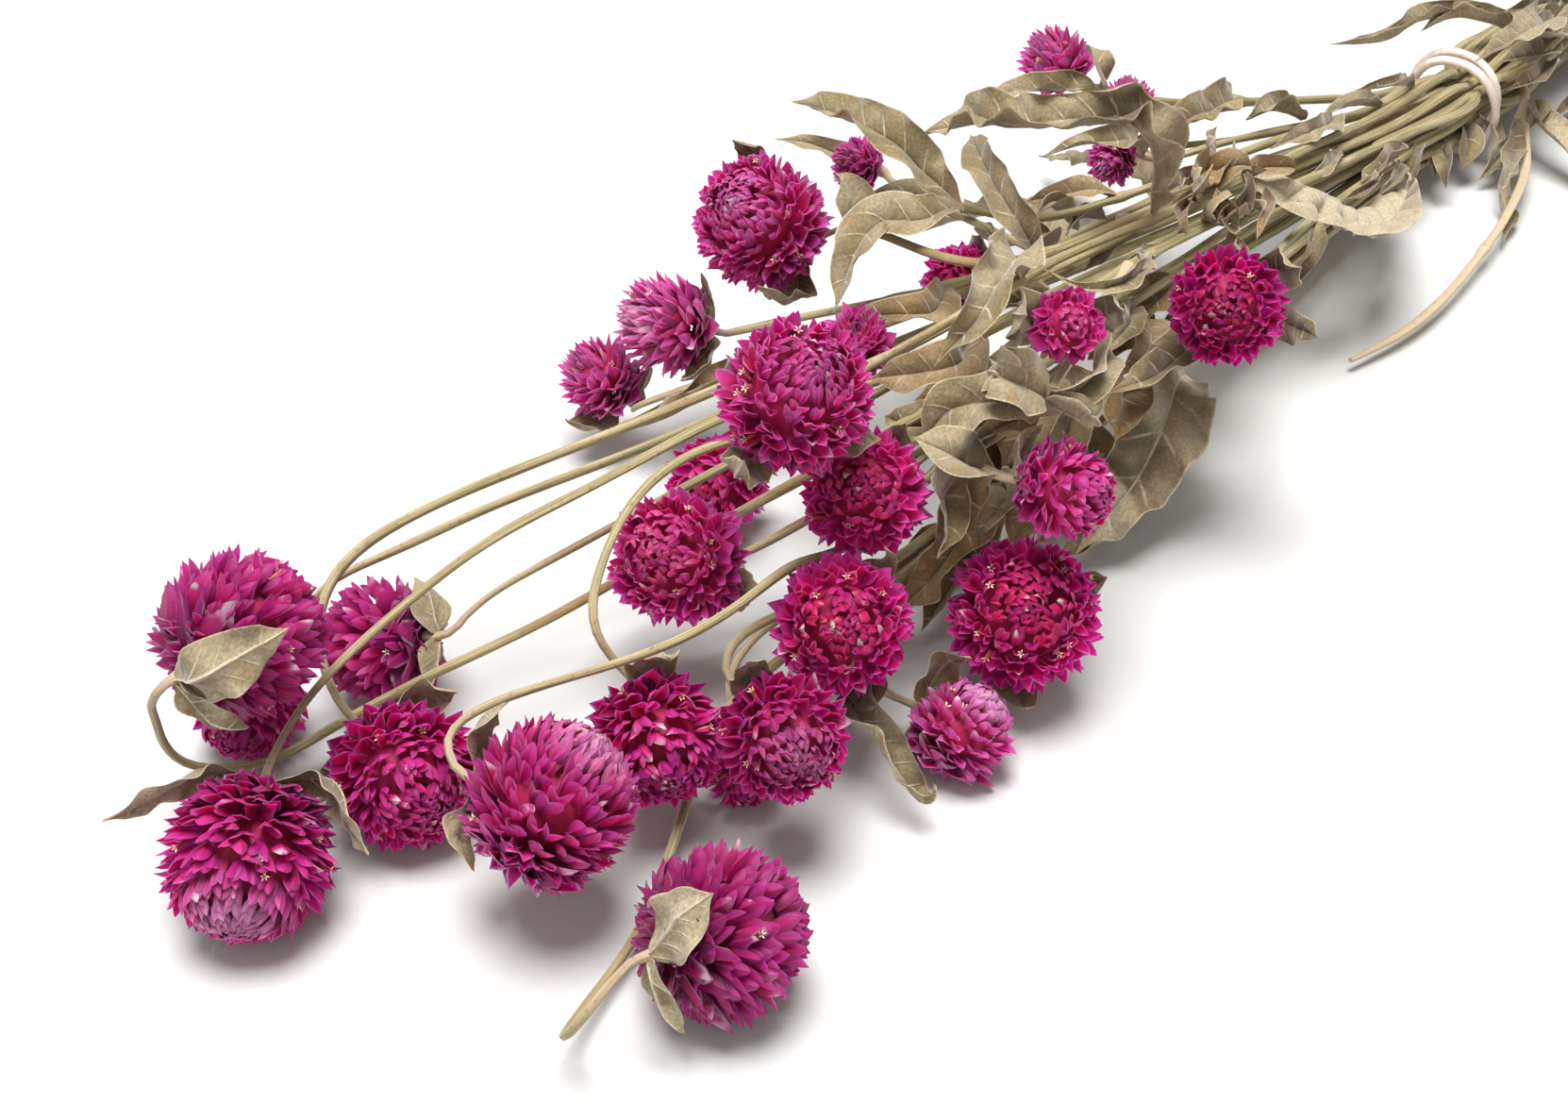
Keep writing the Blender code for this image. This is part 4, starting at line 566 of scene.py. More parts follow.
def band_line(count):
    """A rubber band twice round the stems: apart on top, crossing over itself underneath."""
    turns = (np.arange(count) + 0.5) * 4 * math.pi / count
    wrap = TIE[2] - BAND_DROP - BAND_FACET
    out = wrap + BAND_DROP * np.clip(np.sin(turns / 2), 0, None)
    way = Z * np.cos(turns)[:, None] + TIE_SIDE * np.sin(turns)[:, None]
    past = BAND_SPREAD * np.cos(turns / 2) - BAND_BACK
    return TIE + TIE_AXIS * past[:, None] + way * out[:, None], way


def columns(spine, faces, across, fold):
    """Left edge, midrib and right edge of a blade along its spine."""
    u = np.linspace(0, 1, len(spine))[:, None]
    along = unit(np.gradient(spine, axis=0))
    side = unit(np.cross(along, faces))
    face = np.cross(side, along)
    half = across * MM / 2 * np.sin(np.pi * np.clip(u, 0, 1) ** 0.85) ** 0.75
    half = np.maximum(half, 0.45 * MM)
    bend = math.radians(fold)
    out = side * half * math.cos(bend)
    rise = face * half * math.sin(bend)
    return np.stack([spine - out + rise, spine, spine + out + rise], 1)


def lay_blades(strands, blooms):
    """Every leaf and bract as three lines, before any is bent clear."""
    blades = []
    lines = np.vstack([s.points for s in strands])
    owners = [s.stem for s in strands for _ in s.points]
    for leaf in LEAVES:
        route = [seen(*q) for q in leaf.route]
        start = np.linalg.norm(lines - route[0] * 0.7 - route[1] * 0.3, axis=1).argmin()
        spine = through([lines[start]] + route[1:], 1.6 * MM)
        u = np.linspace(0, 1, len(spine))[:, None]
        faces = unit(facing(*leaf.root_faces) * (1 - u) + facing(*leaf.tip_faces) * u)
        far = walk(spine)
        free = np.clip((far - 1.0 * MM) / (3 * MM), 0, 1)
        block = columns(spine, faces, leaf.across, leaf.fold)
        blades.append(Blade(owners[start], None, block, free))
    stem_of = {s.bloom: s.stem for s in strands if s.bloom}
    for bract in BRACTS:
        middle, radius, crown = blooms[bract.bloom]
        lean = facing(*bract.leans)
        lean = unit(lean - crown * (lean @ crown))
        turn = np.radians(np.linspace(0, bract.clings, 12))[:, None]
        shell = radius * SEAT + 1.8 * MM
        shell = shell + (radius + 1.1 * MM - shell) * np.clip(np.degrees(turn) / 34, 0, 1) ** 1.5
        arc = middle + shell * (lean * np.sin(turn) - crown * np.cos(turn))
        onward = unit(arc[-1] - arc[-2])
        spine = through(np.vstack([arc, arc[-1] + onward * (bract.flares + 0.5) * MM]), 1.3 * MM)
        faces = unit(middle - spine)
        free = np.clip((walk(spine) - 2.5 * MM) / (5 * MM), 0, 1)
        block = columns(spine, faces, bract.across, 12)
        blades.append(Blade(stem_of[bract.bloom], bract.bloom, block, free))
    return blades


def spots(block):
    """Five points across each row of a blade."""
    left, middle, right = block[:, 0], block[:, 1], block[:, 2]
    return np.stack([left, (left + middle) / 2, middle, (middle + right) / 2, right], 1)


def part_blades(blades, strands, blooms):
    """Bend the leaves and bracts clear of the shoots, the blooms, each other and the floor."""
    spans = spans_of([b.columns for b in blades])
    owner = np.concatenate([np.full(len(b.columns), k) for k, b in enumerate(blades)])
    free = np.concatenate([b.free for b in blades])
    stems = np.array([b.stem for b in blades])
    block = np.vstack([b.columns for b in blades])
    band = band_line(120)[0]
    fixed = np.vstack([s.points for s in strands] + [band])
    thick = np.concatenate([s.radii for s in strands] + [np.full(len(band), BAND_RADIUS)])
    fixed_stem = np.array([s.stem for s in strands for _ in s.points] + ["band"] * len(band))
    balls = np.array([b[0] for b in blooms.values()])
    sizes = np.array([b[1] for b in blooms.values()])
    own = np.zeros((len(block), len(balls)), bool)
    for b, span in zip(blades, spans):
        if b.bloom:
            own[span, list(blooms).index(b.bloom)] = b.free < 0.55
    owner5 = np.repeat(owner, 5)
    free5 = np.repeat(free, 5)
    own5 = np.repeat(own, 5, axis=0)
    weights = np.array([[1, 0, 0], [0.5, 0.5, 0], [0, 1, 0], [0, 0.5, 0.5], [0, 0, 1]])
    for _ in range(16):
        p = spots(block).reshape(-1, 3)
        leafy = near(p, p, 4.0 * MM)
        leafy = leafy[owner5[leafy[:, 0]] < owner5[leafy[:, 1]]]
        same = stems[owner5[leafy[:, 0]]] == stems[owner5[leafy[:, 1]]]
        leafy = leafy[~(same & (free5[leafy].min(1) < 1))]
        woody = near(p, fixed, 6.0 * MM)
        same = stems[owner5[woody[:, 0]]] == fixed_stem[woody[:, 1]]
        woody = woody[~(same & (free5[woody[:, 0]] < 1))]
        for _ in range(8):
            p = spots(block).reshape(-1, 3)
            move = np.zeros_like(p)
            tight, push = pushes(p[leafy[:, 0]], p[leafy[:, 1]], 2 * BLADE + LEAF_CLEAR)
            i, j = leafy[tight].T
            np.add.at(move, i, push * 0.5)
            np.add.at(move, j, -push * 0.5)
            a, b = woody.T
            hit, push = pushes(p[a], fixed[b], thick[b] + BLADE + LEAF_CLEAR)
            np.add.at(move, a[hit], push)
            touched = np.ones(len(p)) + np.bincount(np.concatenate([i, j, a[hit]]), minlength=len(p))
            move /= np.sqrt(touched)[:, None]
            move += out_of(balls, p, BLADE + sizes + LEAF_CLEAR, own5)
            move[:, 2] += np.clip(BLADE + 0.1 * MM - p[:, 2], 0, None)
            rows = np.einsum("nsk,sc->nck", move.reshape(-1, 5, 3), weights) / weights.sum(0)[:, None]
            whole = move.reshape(-1, 5, 3).mean(1, keepdims=True)
            for span in spans:
                block[span] += (
                    0.4 * smooth(rows[span], 1.0) + 0.9 * smooth(whole[span], 2.0)
                ) * free[span, None, None]
    return [b._replace(columns=block[span]) for b, span in zip(blades, spans)]


@functools.cache
def laid_out():
    """The whole bunch's lines, settled once: blooms, shoots and leaves."""
    blooms = settle_blooms()
    strands = part_strands(lay_strands(blooms), blooms)
    blades = part_blades(lay_blades(strands, blooms), strands, blooms)
    return blooms, strands, blades


def hex_colour(text):
    """A linear, opaque colour from an sRGB hex value."""
    parts = [int(text[i:i + 2], 16) / 255 for i in (1, 3, 5)]
    return (*(c / 12.92 if c <= 0.04045 else ((c + 0.055) / 1.055) ** 2.4 for c in parts), 1.0)


def ease(low, high, v):
    """0 below low, 1 above high, and a smooth rise between."""
    t = np.clip((v - low) / (high - low), 0, 1)
    return t * t * (3 - 2 * t)


GOLDEN = math.pi * (3 - math.sqrt(5))


def shells(upper, lower):
    """Closed thin shells whose two skins share their rim, from grids shaped (shell, row, column, 3)."""
    count, rows, cols = upper.shape[:3]
    points = np.concatenate([upper.reshape(count, -1, 3), lower[:, 1:-1, 1:-1].reshape(count, -1, 3)], 1)
    over = np.arange(rows * cols).reshape(rows, cols)
    under = over.copy()
    under[1:-1, 1:-1] = rows * cols + np.arange((rows - 2) * (cols - 2)).reshape(rows - 2, cols - 2)

    def quads(grid):
        return np.stack([grid[:-1, :-1], grid[:-1, 1:], grid[1:, 1:], grid[1:, :-1]], -1).reshape(-1, 4)

    faces = np.vstack([quads(over), quads(under)[:, ::-1]])
    faces = faces[None] + (np.arange(count) * points.shape[1])[:, None, None]
    return points.reshape(-1, 3), faces.reshape(-1, 4)


def on_shells(values, inner=None):
    """Painted values for the points of shells(), from the values of their grids."""
    inner = values if inner is None else inner
    count, depth = values.shape[0], values.shape[-1]
    both = [values.reshape(count, -1, depth), inner[:, 1:-1, 1:-1].reshape(count, -1, depth)]
    return np.concatenate(both, 1).reshape(-1, depth)


def painted(shape, *values):
    """Painted values, each for every point of grids of that shape."""
    return np.stack([np.broadcast_to(value, shape) for value in values], -1)


def placed(name, data):
    """An object with that mesh, lamp or lens, in the scene."""
    made = bpy.data.objects.new(name, data)
    bpy.context.scene.collection.objects.link(made)
    return made


class Lot:
    """Vertices, quads, material numbers and painted values that grow into one mesh."""

    def __init__(self):
        self.points, self.faces, self.looks, self.blade, self.habit = [], [], [], [], []
        self.count = 0

    def add(self, points, faces, look, blade, habit):
        self.points.append(points)
        self.faces.append(faces + self.count)
        self.looks.append(np.full(len(faces), look))
        self.blade.append(np.broadcast_to(blade, (len(points), 3)))
        self.habit.append(np.broadcast_to(habit, (len(points), 3)))
        self.count += len(points)

    def piece(self, name, looks, replaced=(), crease=50):
        """The mesh as a piece that rides on the bunch."""
        points = np.vstack(self.points)
        faces = np.vstack(self.faces)
        mesh = bpy.data.meshes.new(name)
        mesh.vertices.add(len(points))
        mesh.vertices.foreach_set("co", points.astype(np.float32).ravel())
        mesh.loops.add(faces.size)
        mesh.loops.foreach_set("vertex_index", faces.astype(np.int32).ravel())
        mesh.polygons.add(len(faces))
        mesh.polygons.foreach_set("loop_start", np.arange(len(faces), dtype=np.int32) * 4)
        mesh.polygons.foreach_set("material_index", np.concatenate(self.looks).astype(np.int32))
        mesh.update(calc_edges=True)
        for title, values in (("blade", self.blade), ("habit", self.habit)):
            kept = mesh.attributes.new(title, "FLOAT_VECTOR", "POINT")
            kept.data.foreach_set("vector", np.vstack(values).astype(np.float32).ravel())
        tidy = bmesh.new()
        tidy.from_mesh(mesh)
        bmesh.ops.recalc_face_normals(tidy, faces=tidy.faces)
        tidy.to_mesh(mesh)
        tidy.free()
        mesh.polygons.foreach_set("use_smooth", np.ones(len(faces), bool))
        mesh.set_sharp_from_angle(angle=math.radians(crease))
        for look in looks:
            mesh.materials.append(look)
        made = placed(name, mesh)
        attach(made, "root")
        if replaced:
            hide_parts(*replaced)
        return made


# The heads


# How far down from its crown a head's florets go, and a young head's
HEAD_COVERS = math.radians(158)
FAN_OPENS = math.radians(112)
# The angles from the crown that by_zone takes its values at, in degrees
ZONES = (0, 22, 50, 76, 105, 150)
FEWEST_FLORETS = 60
# The radius of a head's dark heart, as a share of the head's
HEART = 0.60
# Half a bracteole's thickness, and the least height of its middle above the floor
BRACTEOLE_SKIN = 0.06 * MM
BRACTEOLE_LIFT = 0.15 * MM

Sites = namedtuple("Sites", "polar root tip across outer")


def by_zone(polar, *values):
    """A value at each floret, from those at a head's crown, shoulder, upper, middle, low part and base."""
    return np.interp(np.degrees(polar), ZONES, values)


def upright_to(crown):
    """The turn that brings Z to the crown's direction."""
    return np.array(Vector(crown).to_track_quat("Z", "Y").to_matrix())


def sites_at(polar, around, root, tip, turned):
    """Sites from their roots and tips, with the way across each and its outer side."""
    across = np.stack([-np.sin(around), np.cos(around), 0 * around], 1) @ turned.T
    return Sites(polar, root, tip, across, unit(np.cross(across, tip - root)))


def head_sites(middle, radius, crown, rng, density, ragged, fan):
    """Places round a head, crown first: each floret's root, tip and outer side. A fan opens from its neck."""
    count = max(FEWEST_FLORETS, round(density * (radius / MM) ** 2))
    u = (np.arange(count) + 0.5) / count
    polar = (FAN_OPENS if fan else HEAD_COVERS) * (0.55 * u ** 0.80 + 0.45 * u ** 1.5)
    polar = polar + rng.normal(0, 0.045, count) * ease(0.02, 0.2, u)
    around = np.arange(count) * GOLDEN + rng.normal(0, 0.10, count) + rng.uniform(0, 6.28)
    lean = by_zone(polar, 0.10, 0.34, 0.32, 0.42, 0.54, 0.42) + rng.normal(0, 0.05, count)
    lean = lean + ease(1.7, 2.4, polar) * rng.normal(0, 0.16, count)
    turned = upright_to(crown)

    def outward(angle):
        flat = np.sin(angle)
        return np.stack([flat * np.cos(around), flat * np.sin(around), np.cos(angle)], 1) @ turned.T

    uneven = rng.normal(0, 1, count) * by_zone(polar, 0.008, 0.014, 0.03, 0.034, 0.034, 0.036) * ragged
    reach = by_zone(polar, 0.95, 0.945, 0.965, 0.97, 0.97, 0.975) + uneven
    tip = middle + outward(polar) * (radius * np.clip(reach, 0.88, 1.03))[:, None]
    seat = by_zone(polar, 0.74, 0.77, 0.68, 0.64, 0.66, 0.56)
    root = middle + outward(np.minimum(polar + lean, math.radians(172))) * (radius * seat)[:, None]
    if fan:
        root = middle - crown * radius * 0.62 + outward(polar) * radius * 0.30
    return sites_at(polar, around, root, tip, turned)


def basal_sites(middle, radius, crown, rng, count):
    """Places for the larger bracteoles that spread from the neck, under the rest."""
    around = np.arange(count) * 2 * math.pi / count + rng.normal(0, 0.16, count)
    polar = np.radians(rng.uniform(104, 138, count))
    turned = upright_to(crown)
    flat = np.stack([np.cos(around), np.sin(around), 0 * around], 1) @ turned.T
    out = flat * np.sin(polar)[:, None] + crown * np.cos(polar)[:, None]
    tip = middle + out * (radius * rng.uniform(0.94, 1.03, count))[:, None]
    root = middle - crown * radius * 0.80 + flat * radius * 0.16
    return sites_at(polar + 0.25, around, root, tip, turned)


# A bracteole's rows from root to tip, its breadth at each, and its columns from side to side
FINE = (np.array([0.0, 0.42, 0.70, 0.89, 1.0]), np.array([0.6, 1.0, 0.88, 0.46, 0.02]),
        np.array([-1.0, -0.55, 0.0, 0.55, 1.0]))
COARSE = (np.array([0.0, 0.45, 0.80, 1.0]), np.array([0.6, 1.0, 0.72, 0.04]), np.array([-1.0, 0.0, 1.0]))


def bracteoles(lot, sites, rng, size, look, frost_and_sheen, tone):
    """Two keeled, boat-shaped, pointed bracteoles round each floret."""
    small = (sites.polar > math.radians(122)) | (sites.polar < math.radians(24))
    for chosen, (rows, breadth, cols) in ((small, COARSE), (~small, FINE)):
        polar, root, tip, across, outer = (part[chosen] for part in sites)
        count = len(polar)
        if not count:
            continue
        length = np.linalg.norm(tip - root, axis=1)
        for hand in (-1, 1):
            end = root + (tip - root) * rng.uniform(0.90, 1.03, count)[:, None]
            part = size * by_zone(polar, 0.20, 0.24, 0.38, 0.46, 0.48, 0.5) * rng.uniform(0.4, 1.6, count)
            end = end + hand * across * part[:, None]
            bow = by_zone(polar, 0.16, 0.12, 0.08, 0.12, 0.17, 0.12) + rng.normal(0, 0.03, count)
            bend = (root + end) / 2 + outer * (bow * length)[:, None]
            u = rows[None, :, None]
            line = (1 - u) ** 2 * root[:, None] + 2 * u * (1 - u) * bend[:, None] + u * u * end[:, None]
            way = unit(2 * (1 - u) * (bend - root)[:, None] + 2 * u * (end - bend)[:, None])
            opening = np.radians(by_zone(polar, 4, 10, 24, 26, 26, 20) + rng.normal(0, 14, count))
            keel = unit(outer * np.cos(opening)[:, None] + hand * across * np.sin(opening)[:, None])
            wide = size * by_zone(polar, 0.62, 0.72, 0.90, 1.0, 1.04, 1.15) * rng.uniform(0.78, 1.2, count)
            line = line + keel[:, None] * (wide[:, None] * 0.20 * np.sin(math.pi * rows * 0.85))[..., None]
            flick = by_zone(polar, -0.35, -0.15, 0.12, 0.24, 0.22, 0.15) + rng.normal(0, 0.20, count)
            line = line + outer[:, None] * ((flick * wide)[:, None] * rows ** 4)[..., None]
            keel = unit(keel[:, None] - way * (keel[:, None] * way).sum(-1, keepdims=True))
            side = np.cross(way, keel)
            fold = np.radians(by_zone(polar, 40, 40, 36, 32, 32, 26) + rng.normal(0, 8, count))
            fold = fold[:, None, None, None]
            half = (wide[:, None] * breadth / 2)[..., None, None]
            s = cols[None, None, :, None]
            grid = line[:, :, None] + side[:, :, None] * half * s * np.cos(fold)
            grid = grid - keel[:, :, None] * half * np.abs(s) ** 1.35 * np.sin(fold)
            grid[..., 2] = np.maximum(grid[..., 2], BRACTEOLE_LIFT)
            skin = BRACTEOLE_SKIN * (1 - 0.5 * np.abs(s))
            points, faces = shells(grid + keel[:, :, None] * skin, grid - keel[:, :, None] * skin)
            shape = grid.shape[:3]
            blade = painted(shape, cols, rows[:, None], rng.uniform(0, 1, count)[:, None, None])
            habit = painted(shape, (polar / math.pi)[:, None, None], frost_and_sheen, tone)
            lot.add(points, faces, look, on_shells(blade), on_shells(habit))


def rays_of(base, way, side, length, width, thick):
    """Thin closed blades that narrow to their tips."""
    up = unit(np.cross(way, side))
    grid = []
    for share, narrow in ((0.0, 0.7), (0.5, 1.0), (1.0, 0.12)):
        spot = base + way * (length * share)[:, None]
        half = side * (width * narrow / 2)[:, None]
        grid.append(np.stack([spot - half, spot, spot + half], 1))
    grid = np.stack(grid, 1)
    rise = up[:, None, None] * (thick / 2)[:, None, None, None]
    return shells(grid + rise, grid - rise)


# A dry corolla's rays, and the length of its tube
RAYS = 5
TUBE = 1.9 * MM


def star_florets(lot, sites, rng, share, look):
    """The dry corollas that show between the bracteoles: a short tube and five pale rays."""
    polar, root, tip, across, outer = sites
    likely = share * by_zone(polar, 0, 0.2, 1, 1, 0.8, 0.2)
    chosen = rng.uniform(size=len(polar)) < likely
    root, tip, across, outer = root[chosen], tip[chosen], across[chosen], outer[chosen]
    count = len(root)
    if not count:
        return
    way = unit(unit(tip - root) + 0.25 * outer + rng.normal(0, 0.16, (count, 3)))
    mouth = tip + outer * 0.2 * MM - way * (rng.uniform(0.5, 1.4, count) * MM)[:, None]
    side = unit(np.cross(way, outer + 0.01))
    up = np.cross(side, way)
    dried = rng.uniform(0, 1, count)
    closed = 0.25 + 1.5 * ease(0.6, 1.0, dried)
    for k in range(RAYS):
        angle = k * 2 * math.pi / RAYS + rng.uniform(-0.25, 0.25, count)
        level = unit(side * np.cos(angle)[:, None] + up * np.sin(angle)[:, None])
        ray = unit(level + way * (closed + rng.uniform(0, 0.5, count))[:, None])
        flat = unit(np.cross(ray, way))
        size = rng.uniform(0.42, 0.60, count) * MM
        points, faces = rays_of(mouth + level * 0.10 * MM, ray, flat, size, size * 0.42, size * 0.18)
        paint = np.repeat(painted(count, 0, k / RAYS, dried), 10, axis=0)
        lot.add(points, faces, look, paint, (0.5, 0, 0))
        tube = unit(np.cross(level, way))
        size = np.full(count, TUBE)
        points, faces = rays_of(
            mouth + level * 0.15 * MM - way * 1.7 * MM, way, tube, size, size * 0.17, size * 0.07)
        lot.add(points, faces, look, paint, (0.5, 1, 0))


def ball(middle, radius, crown):
    """A closed ball of quads."""
    cube = bmesh.new()
    bmesh.ops.create_cube(cube, size=2.0)
    bmesh.ops.subdivide_edges(cube, edges=cube.edges, cuts=5, use_grid_fill=True)
    cube.verts.index_update()
    points = unit(np.array([v.co for v in cube.verts]))
    faces = np.array([[v.index for v in f.verts] for f in cube.faces])
    cube.free()
    return middle + radius * points @ upright_to(crown).T, faces


# The stems


def ribbed_stalk(lot, strand, rng, look, sides, ribs, depth, joints=(), bleached=0.0):
    """A dried stalk: lengthwise ribs, a slight wander in its thickness, swollen at its joints."""
    points = through(strand.points, 1.8 * MM)
    far = walk(points)
    radii = np.interp(far, walk(strand.points), strand.radii) * 0.9
    if bleached:
        radii = radii * (0.60 + 0.40 * ease(0, 16 * MM, far))
    along = unit(np.gradient(points, axis=0))
    out = np.cross(along[0], Z if abs(along[0][2]) < 0.9 else TIE_AXIS)
    angles = np.arange(sides) * 2 * math.pi / sides
    twist = rng.uniform(0, 6.28) + far / MM * rng.uniform(-0.01, 0.01)
    wander = 1 + 0.05 * np.sin(far / MM / rng.uniform(7, 12) + rng.uniform(0, 6.28))
    wander += 0.035 * np.sin(far / MM / rng.uniform(2.2, 4) + rng.uniform(0, 6.28))
    for joint in joints:
        gap = np.linalg.norm(points - joint, axis=1) / MM
        if gap.min() < 2.5:
            wander = wander * (1 + 0.42 * np.exp(-(gap / 1.9) ** 2))
    if strand.bloom:
        flare = 0.45 * np.exp(-(far / MM / 2.2) ** 2)
        wander = wander * (1 + flare - 0.12 * np.exp(-((far / MM - 9) / 6) ** 2))
    rings = []
    for i, (point, radius, axis) in enumerate(zip(points, radii * wander, along)):
        out = unit(out - axis * (out @ axis))
        across = np.cross(axis, out)
        swell = 1 + depth * np.cos(ribs * angles + twist[i]) + 0.07 * np.cos(2 * angles + twist[i] * 0.5)
        rings.append(point + radius * swell[:, None] * (
            np.cos(angles)[:, None] * out + np.sin(angles)[:, None] * across))
    rings = np.array(rings)
    count = len(rings)
    i, j = np.meshgrid(np.arange(count - 1), np.arange(sides), indexing="ij")
    n = (j + 1) % sides
    walls = [i * sides + j, i * sides + n, (i + 1) * sides + n, (i + 1) * sides + j]
    walls = np.stack(walls, -1).reshape(-1, 4)
    caps = []
    half = sides // 2
    for ring in (0, count - 1):
        for k in range(half - 1):
            caps.append([ring * sides + k, ring * sides + k + 1,
                         ring * sides + sides - 2 - k, ring * sides + sides - 1 - k])
    faces = np.vstack([walls, caps])
    near_head = np.exp(-far / MM / 14) if strand.bloom else np.full(len(far), -bleached)
    shape = count, sides
    blade = painted(shape, np.cos(ribs * angles) * 0.5 + 0.5, (far / MM)[:, None], rng.uniform())
    habit = painted(shape, near_head[:, None], angles / 6.2832, rng.uniform())
    lot.add(rings.reshape(-1, 3), faces, look, blade.reshape(-1, 3), habit.reshape(-1, 3))


# The leaves


# How a leaf has dried. Broad: its width as a share of its layout's; ruffle and pleat: the height in mm
# of its margin's waves and of the pillows between its veins; veins: their spacing in mm; curl: how its
# margins turn up; roll: turns at its tip; tint: from pale, 0, to brown, 1; spiral: its veins run on
# across the midrib; flat: how far its two halves lie in one plane.
Style = namedtuple("Style", "broad ruffle pleat veins curl roll tint spiral flat", defaults=(False, 0.15))
# The places of a leaf's columns from its midrib to its margin
COLUMNS = np.array([0, 0.06, 0.16, 0.29, 0.43, 0.57, 0.71, 0.84, 0.93, 1.0])
# The sizes of its crumples and their depths, in mm
CRUMPLES = ((3.4, 0.32), (6.0, 0.58), (2.0, 0.09))
# The least height of a leaf above the floor; where it starts to bend over below the bunch's top, and
# how much higher it may reach
LEAF_LIFT = 0.5 * MM
LEAF_HIGH = 56 * MM
LEAF_ROOM = 4.5 * MM


def leaf_sheet(lot, lines, rng, look, style):
    """A dried leaf: pillowed between its veins, waved at its margins and crumpled, and perhaps rolled up."""
    left, mid, right = lines[:, 0], lines[:, 1], lines[:, 2]
    far = walk(mid) / MM
    total = far[-1]
    u = (far / total)[:, None]
    along = unit(np.gradient(mid, axis=0))
    face = unit(np.cross(unit(right - left), along))
    s = COLUMNS[None, :]
    swing = ease(0.0, 0.12, u) * ease(1.0, 0.93, u)
    lean = rng.normal(0, 0.25) + 0.30 * np.sin(far / total * rng.uniform(2, 5) + rng.uniform(0, 6.28))
    halves = []
    for hand, edge in ((-1, left), (1, right)):
        taper = np.minimum(1, (1.003 - u) / 0.15) ** 0.8 * np.minimum(1, (u + 0.03) / 0.10) ** 0.7
        if style.spiral:
            taper = taper * (0.12 + 0.88 * ease(0.05, 0.34, u))
        reach = (edge - mid) * style.broad * taper
        width = np.linalg.norm(reach, axis=1, keepdims=True)
        flat = style.flat * ease(0.25, 0.5, u) if style.spiral else style.flat
        reach = width * unit(reach / width * (1 - flat) + unit(right - left) * hand * flat)
        lift = unit(np.cross(along, unit(reach))) * hand
        lift = np.where((lift * face).sum(1, keepdims=True) < 0, -lift, lift)
        wave_length = rng.uniform(7.5, 12.0)
        phase = rng.uniform(0, 6.28)
        wave = np.sin(far * 2 * math.pi / wave_length + phase + 0.8 * np.sin(far / 9 + phase))
        wave = wave + 0.35 * np.sin(far * 2 * math.pi / (wave_length * 0.46) + phase * 2.3)
        curl = style.curl + 0.45 * np.sin(far / total * 4 + phase * 1.3)
        slope = -hand if style.spiral else 1.0
        v = far[:, None] - slope * s * width / MM * 0.9 + 0.5 * np.sin(far / 5 + phase)[:, None]
        pillow = np.abs(np.sin(v * math.pi / style.veins)) ** 0.75 - 0.6
        room = np.minimum(1, width / (3.6 * MM))
        swell = np.sin(math.pi * np.clip(s * 0.92 + 0.04, 0, 1))
        if style.spiral:
            swell = np.cos(math.pi * s / 2) ** 0.5
        rise = style.pleat * MM * pillow * swell * 1.5 * room
        rise = rise + style.ruffle * MM * wave[:, None] * s ** 1.9 * room
        rise = rise + width * (0.14 * np.sin(math.pi * s) + hand * lean[:, None] * s * 0.5)
        rise = rise + width * curl[:, None] * np.clip(s - 0.4, 0, 1) ** 2 * 1.4
        spread = s * (1 + 0.05 * np.sin(far / 3.1 + phase)[:, None])
        spread = spread - 0.22 * np.abs(curl[:, None]) * np.clip(s - 0.45, 0, 1) ** 2
        lifted = lift[:, None] * (rise * swing)[..., None]
        halves.append(mid[:, None] + reach[:, None] * spread[..., None] + lifted)
    grid = np.concatenate([halves[0][:, ::-1], halves[1][:, 1:]], 1)
    across = np.concatenate([-COLUMNS[::-1], COLUMNS[1:]])
    roomy = np.minimum(1, np.linalg.norm(right - left, axis=1) / (7 * MM))[:, None]
    # how far each point crumples inwards, where the finish paints shade
    sunk = np.zeros(grid.shape[:2])
    for scale, amount in CRUMPLES:
        ways = unit(rng.normal(0, 1, (2, 3)))
        waves = [np.sin(grid @ way / MM / scale * 2 + rng.uniform(0, 6.28)) for way in ways]
        crumple = waves[0] * waves[1] + 0.5 * waves[0]
        grid = grid + face[:, None] * (crumple * amount * style.ruffle ** 0.5 * MM * swing * roomy)[..., None]
        sunk = sunk - crumple * amount * style.ruffle ** 0.5
    if style.roll:
        grid = rolled(grid, mid, along, face, far, style.roll)
    height = np.maximum(grid[..., 2], LEAF_LIFT)
    bowed = LEAF_HIGH + LEAF_ROOM * np.tanh((height - LEAF_HIGH) / LEAF_ROOM)
    grid[..., 2] = np.where(height > LEAF_HIGH, bowed, height)
    down = np.gradient(grid, axis=0)
    over = np.gradient(grid, axis=1)
    normal = unit(np.cross(over, down))
    thin = (0.11 - 0.05 * np.abs(across) ** 2)[None, :, None] * MM
    rib = np.exp(-(across / 0.07) ** 2)[None, :] * 0.30 * MM * (1 - 0.75 * u)
    points, faces = shells((grid + normal * thin)[None], (grid - normal * (thin + rib[..., None]))[None])
    shape = grid.shape[:2]
    widths = np.linalg.norm(right - left, axis=1)[:, None] / MM * style.broad / 2
    slope = across if style.spiral else np.abs(across)
    veins = (far[:, None] - slope[None] * widths * 0.9) / style.veins

    over, under = (painted(shape, across, u, side)[None] for side in (1.0, -1.0))
    habit = painted(shape, veins, sunk, style.tint)[None]
    lot.add(points, faces, look, on_shells(over, under), on_shells(habit))


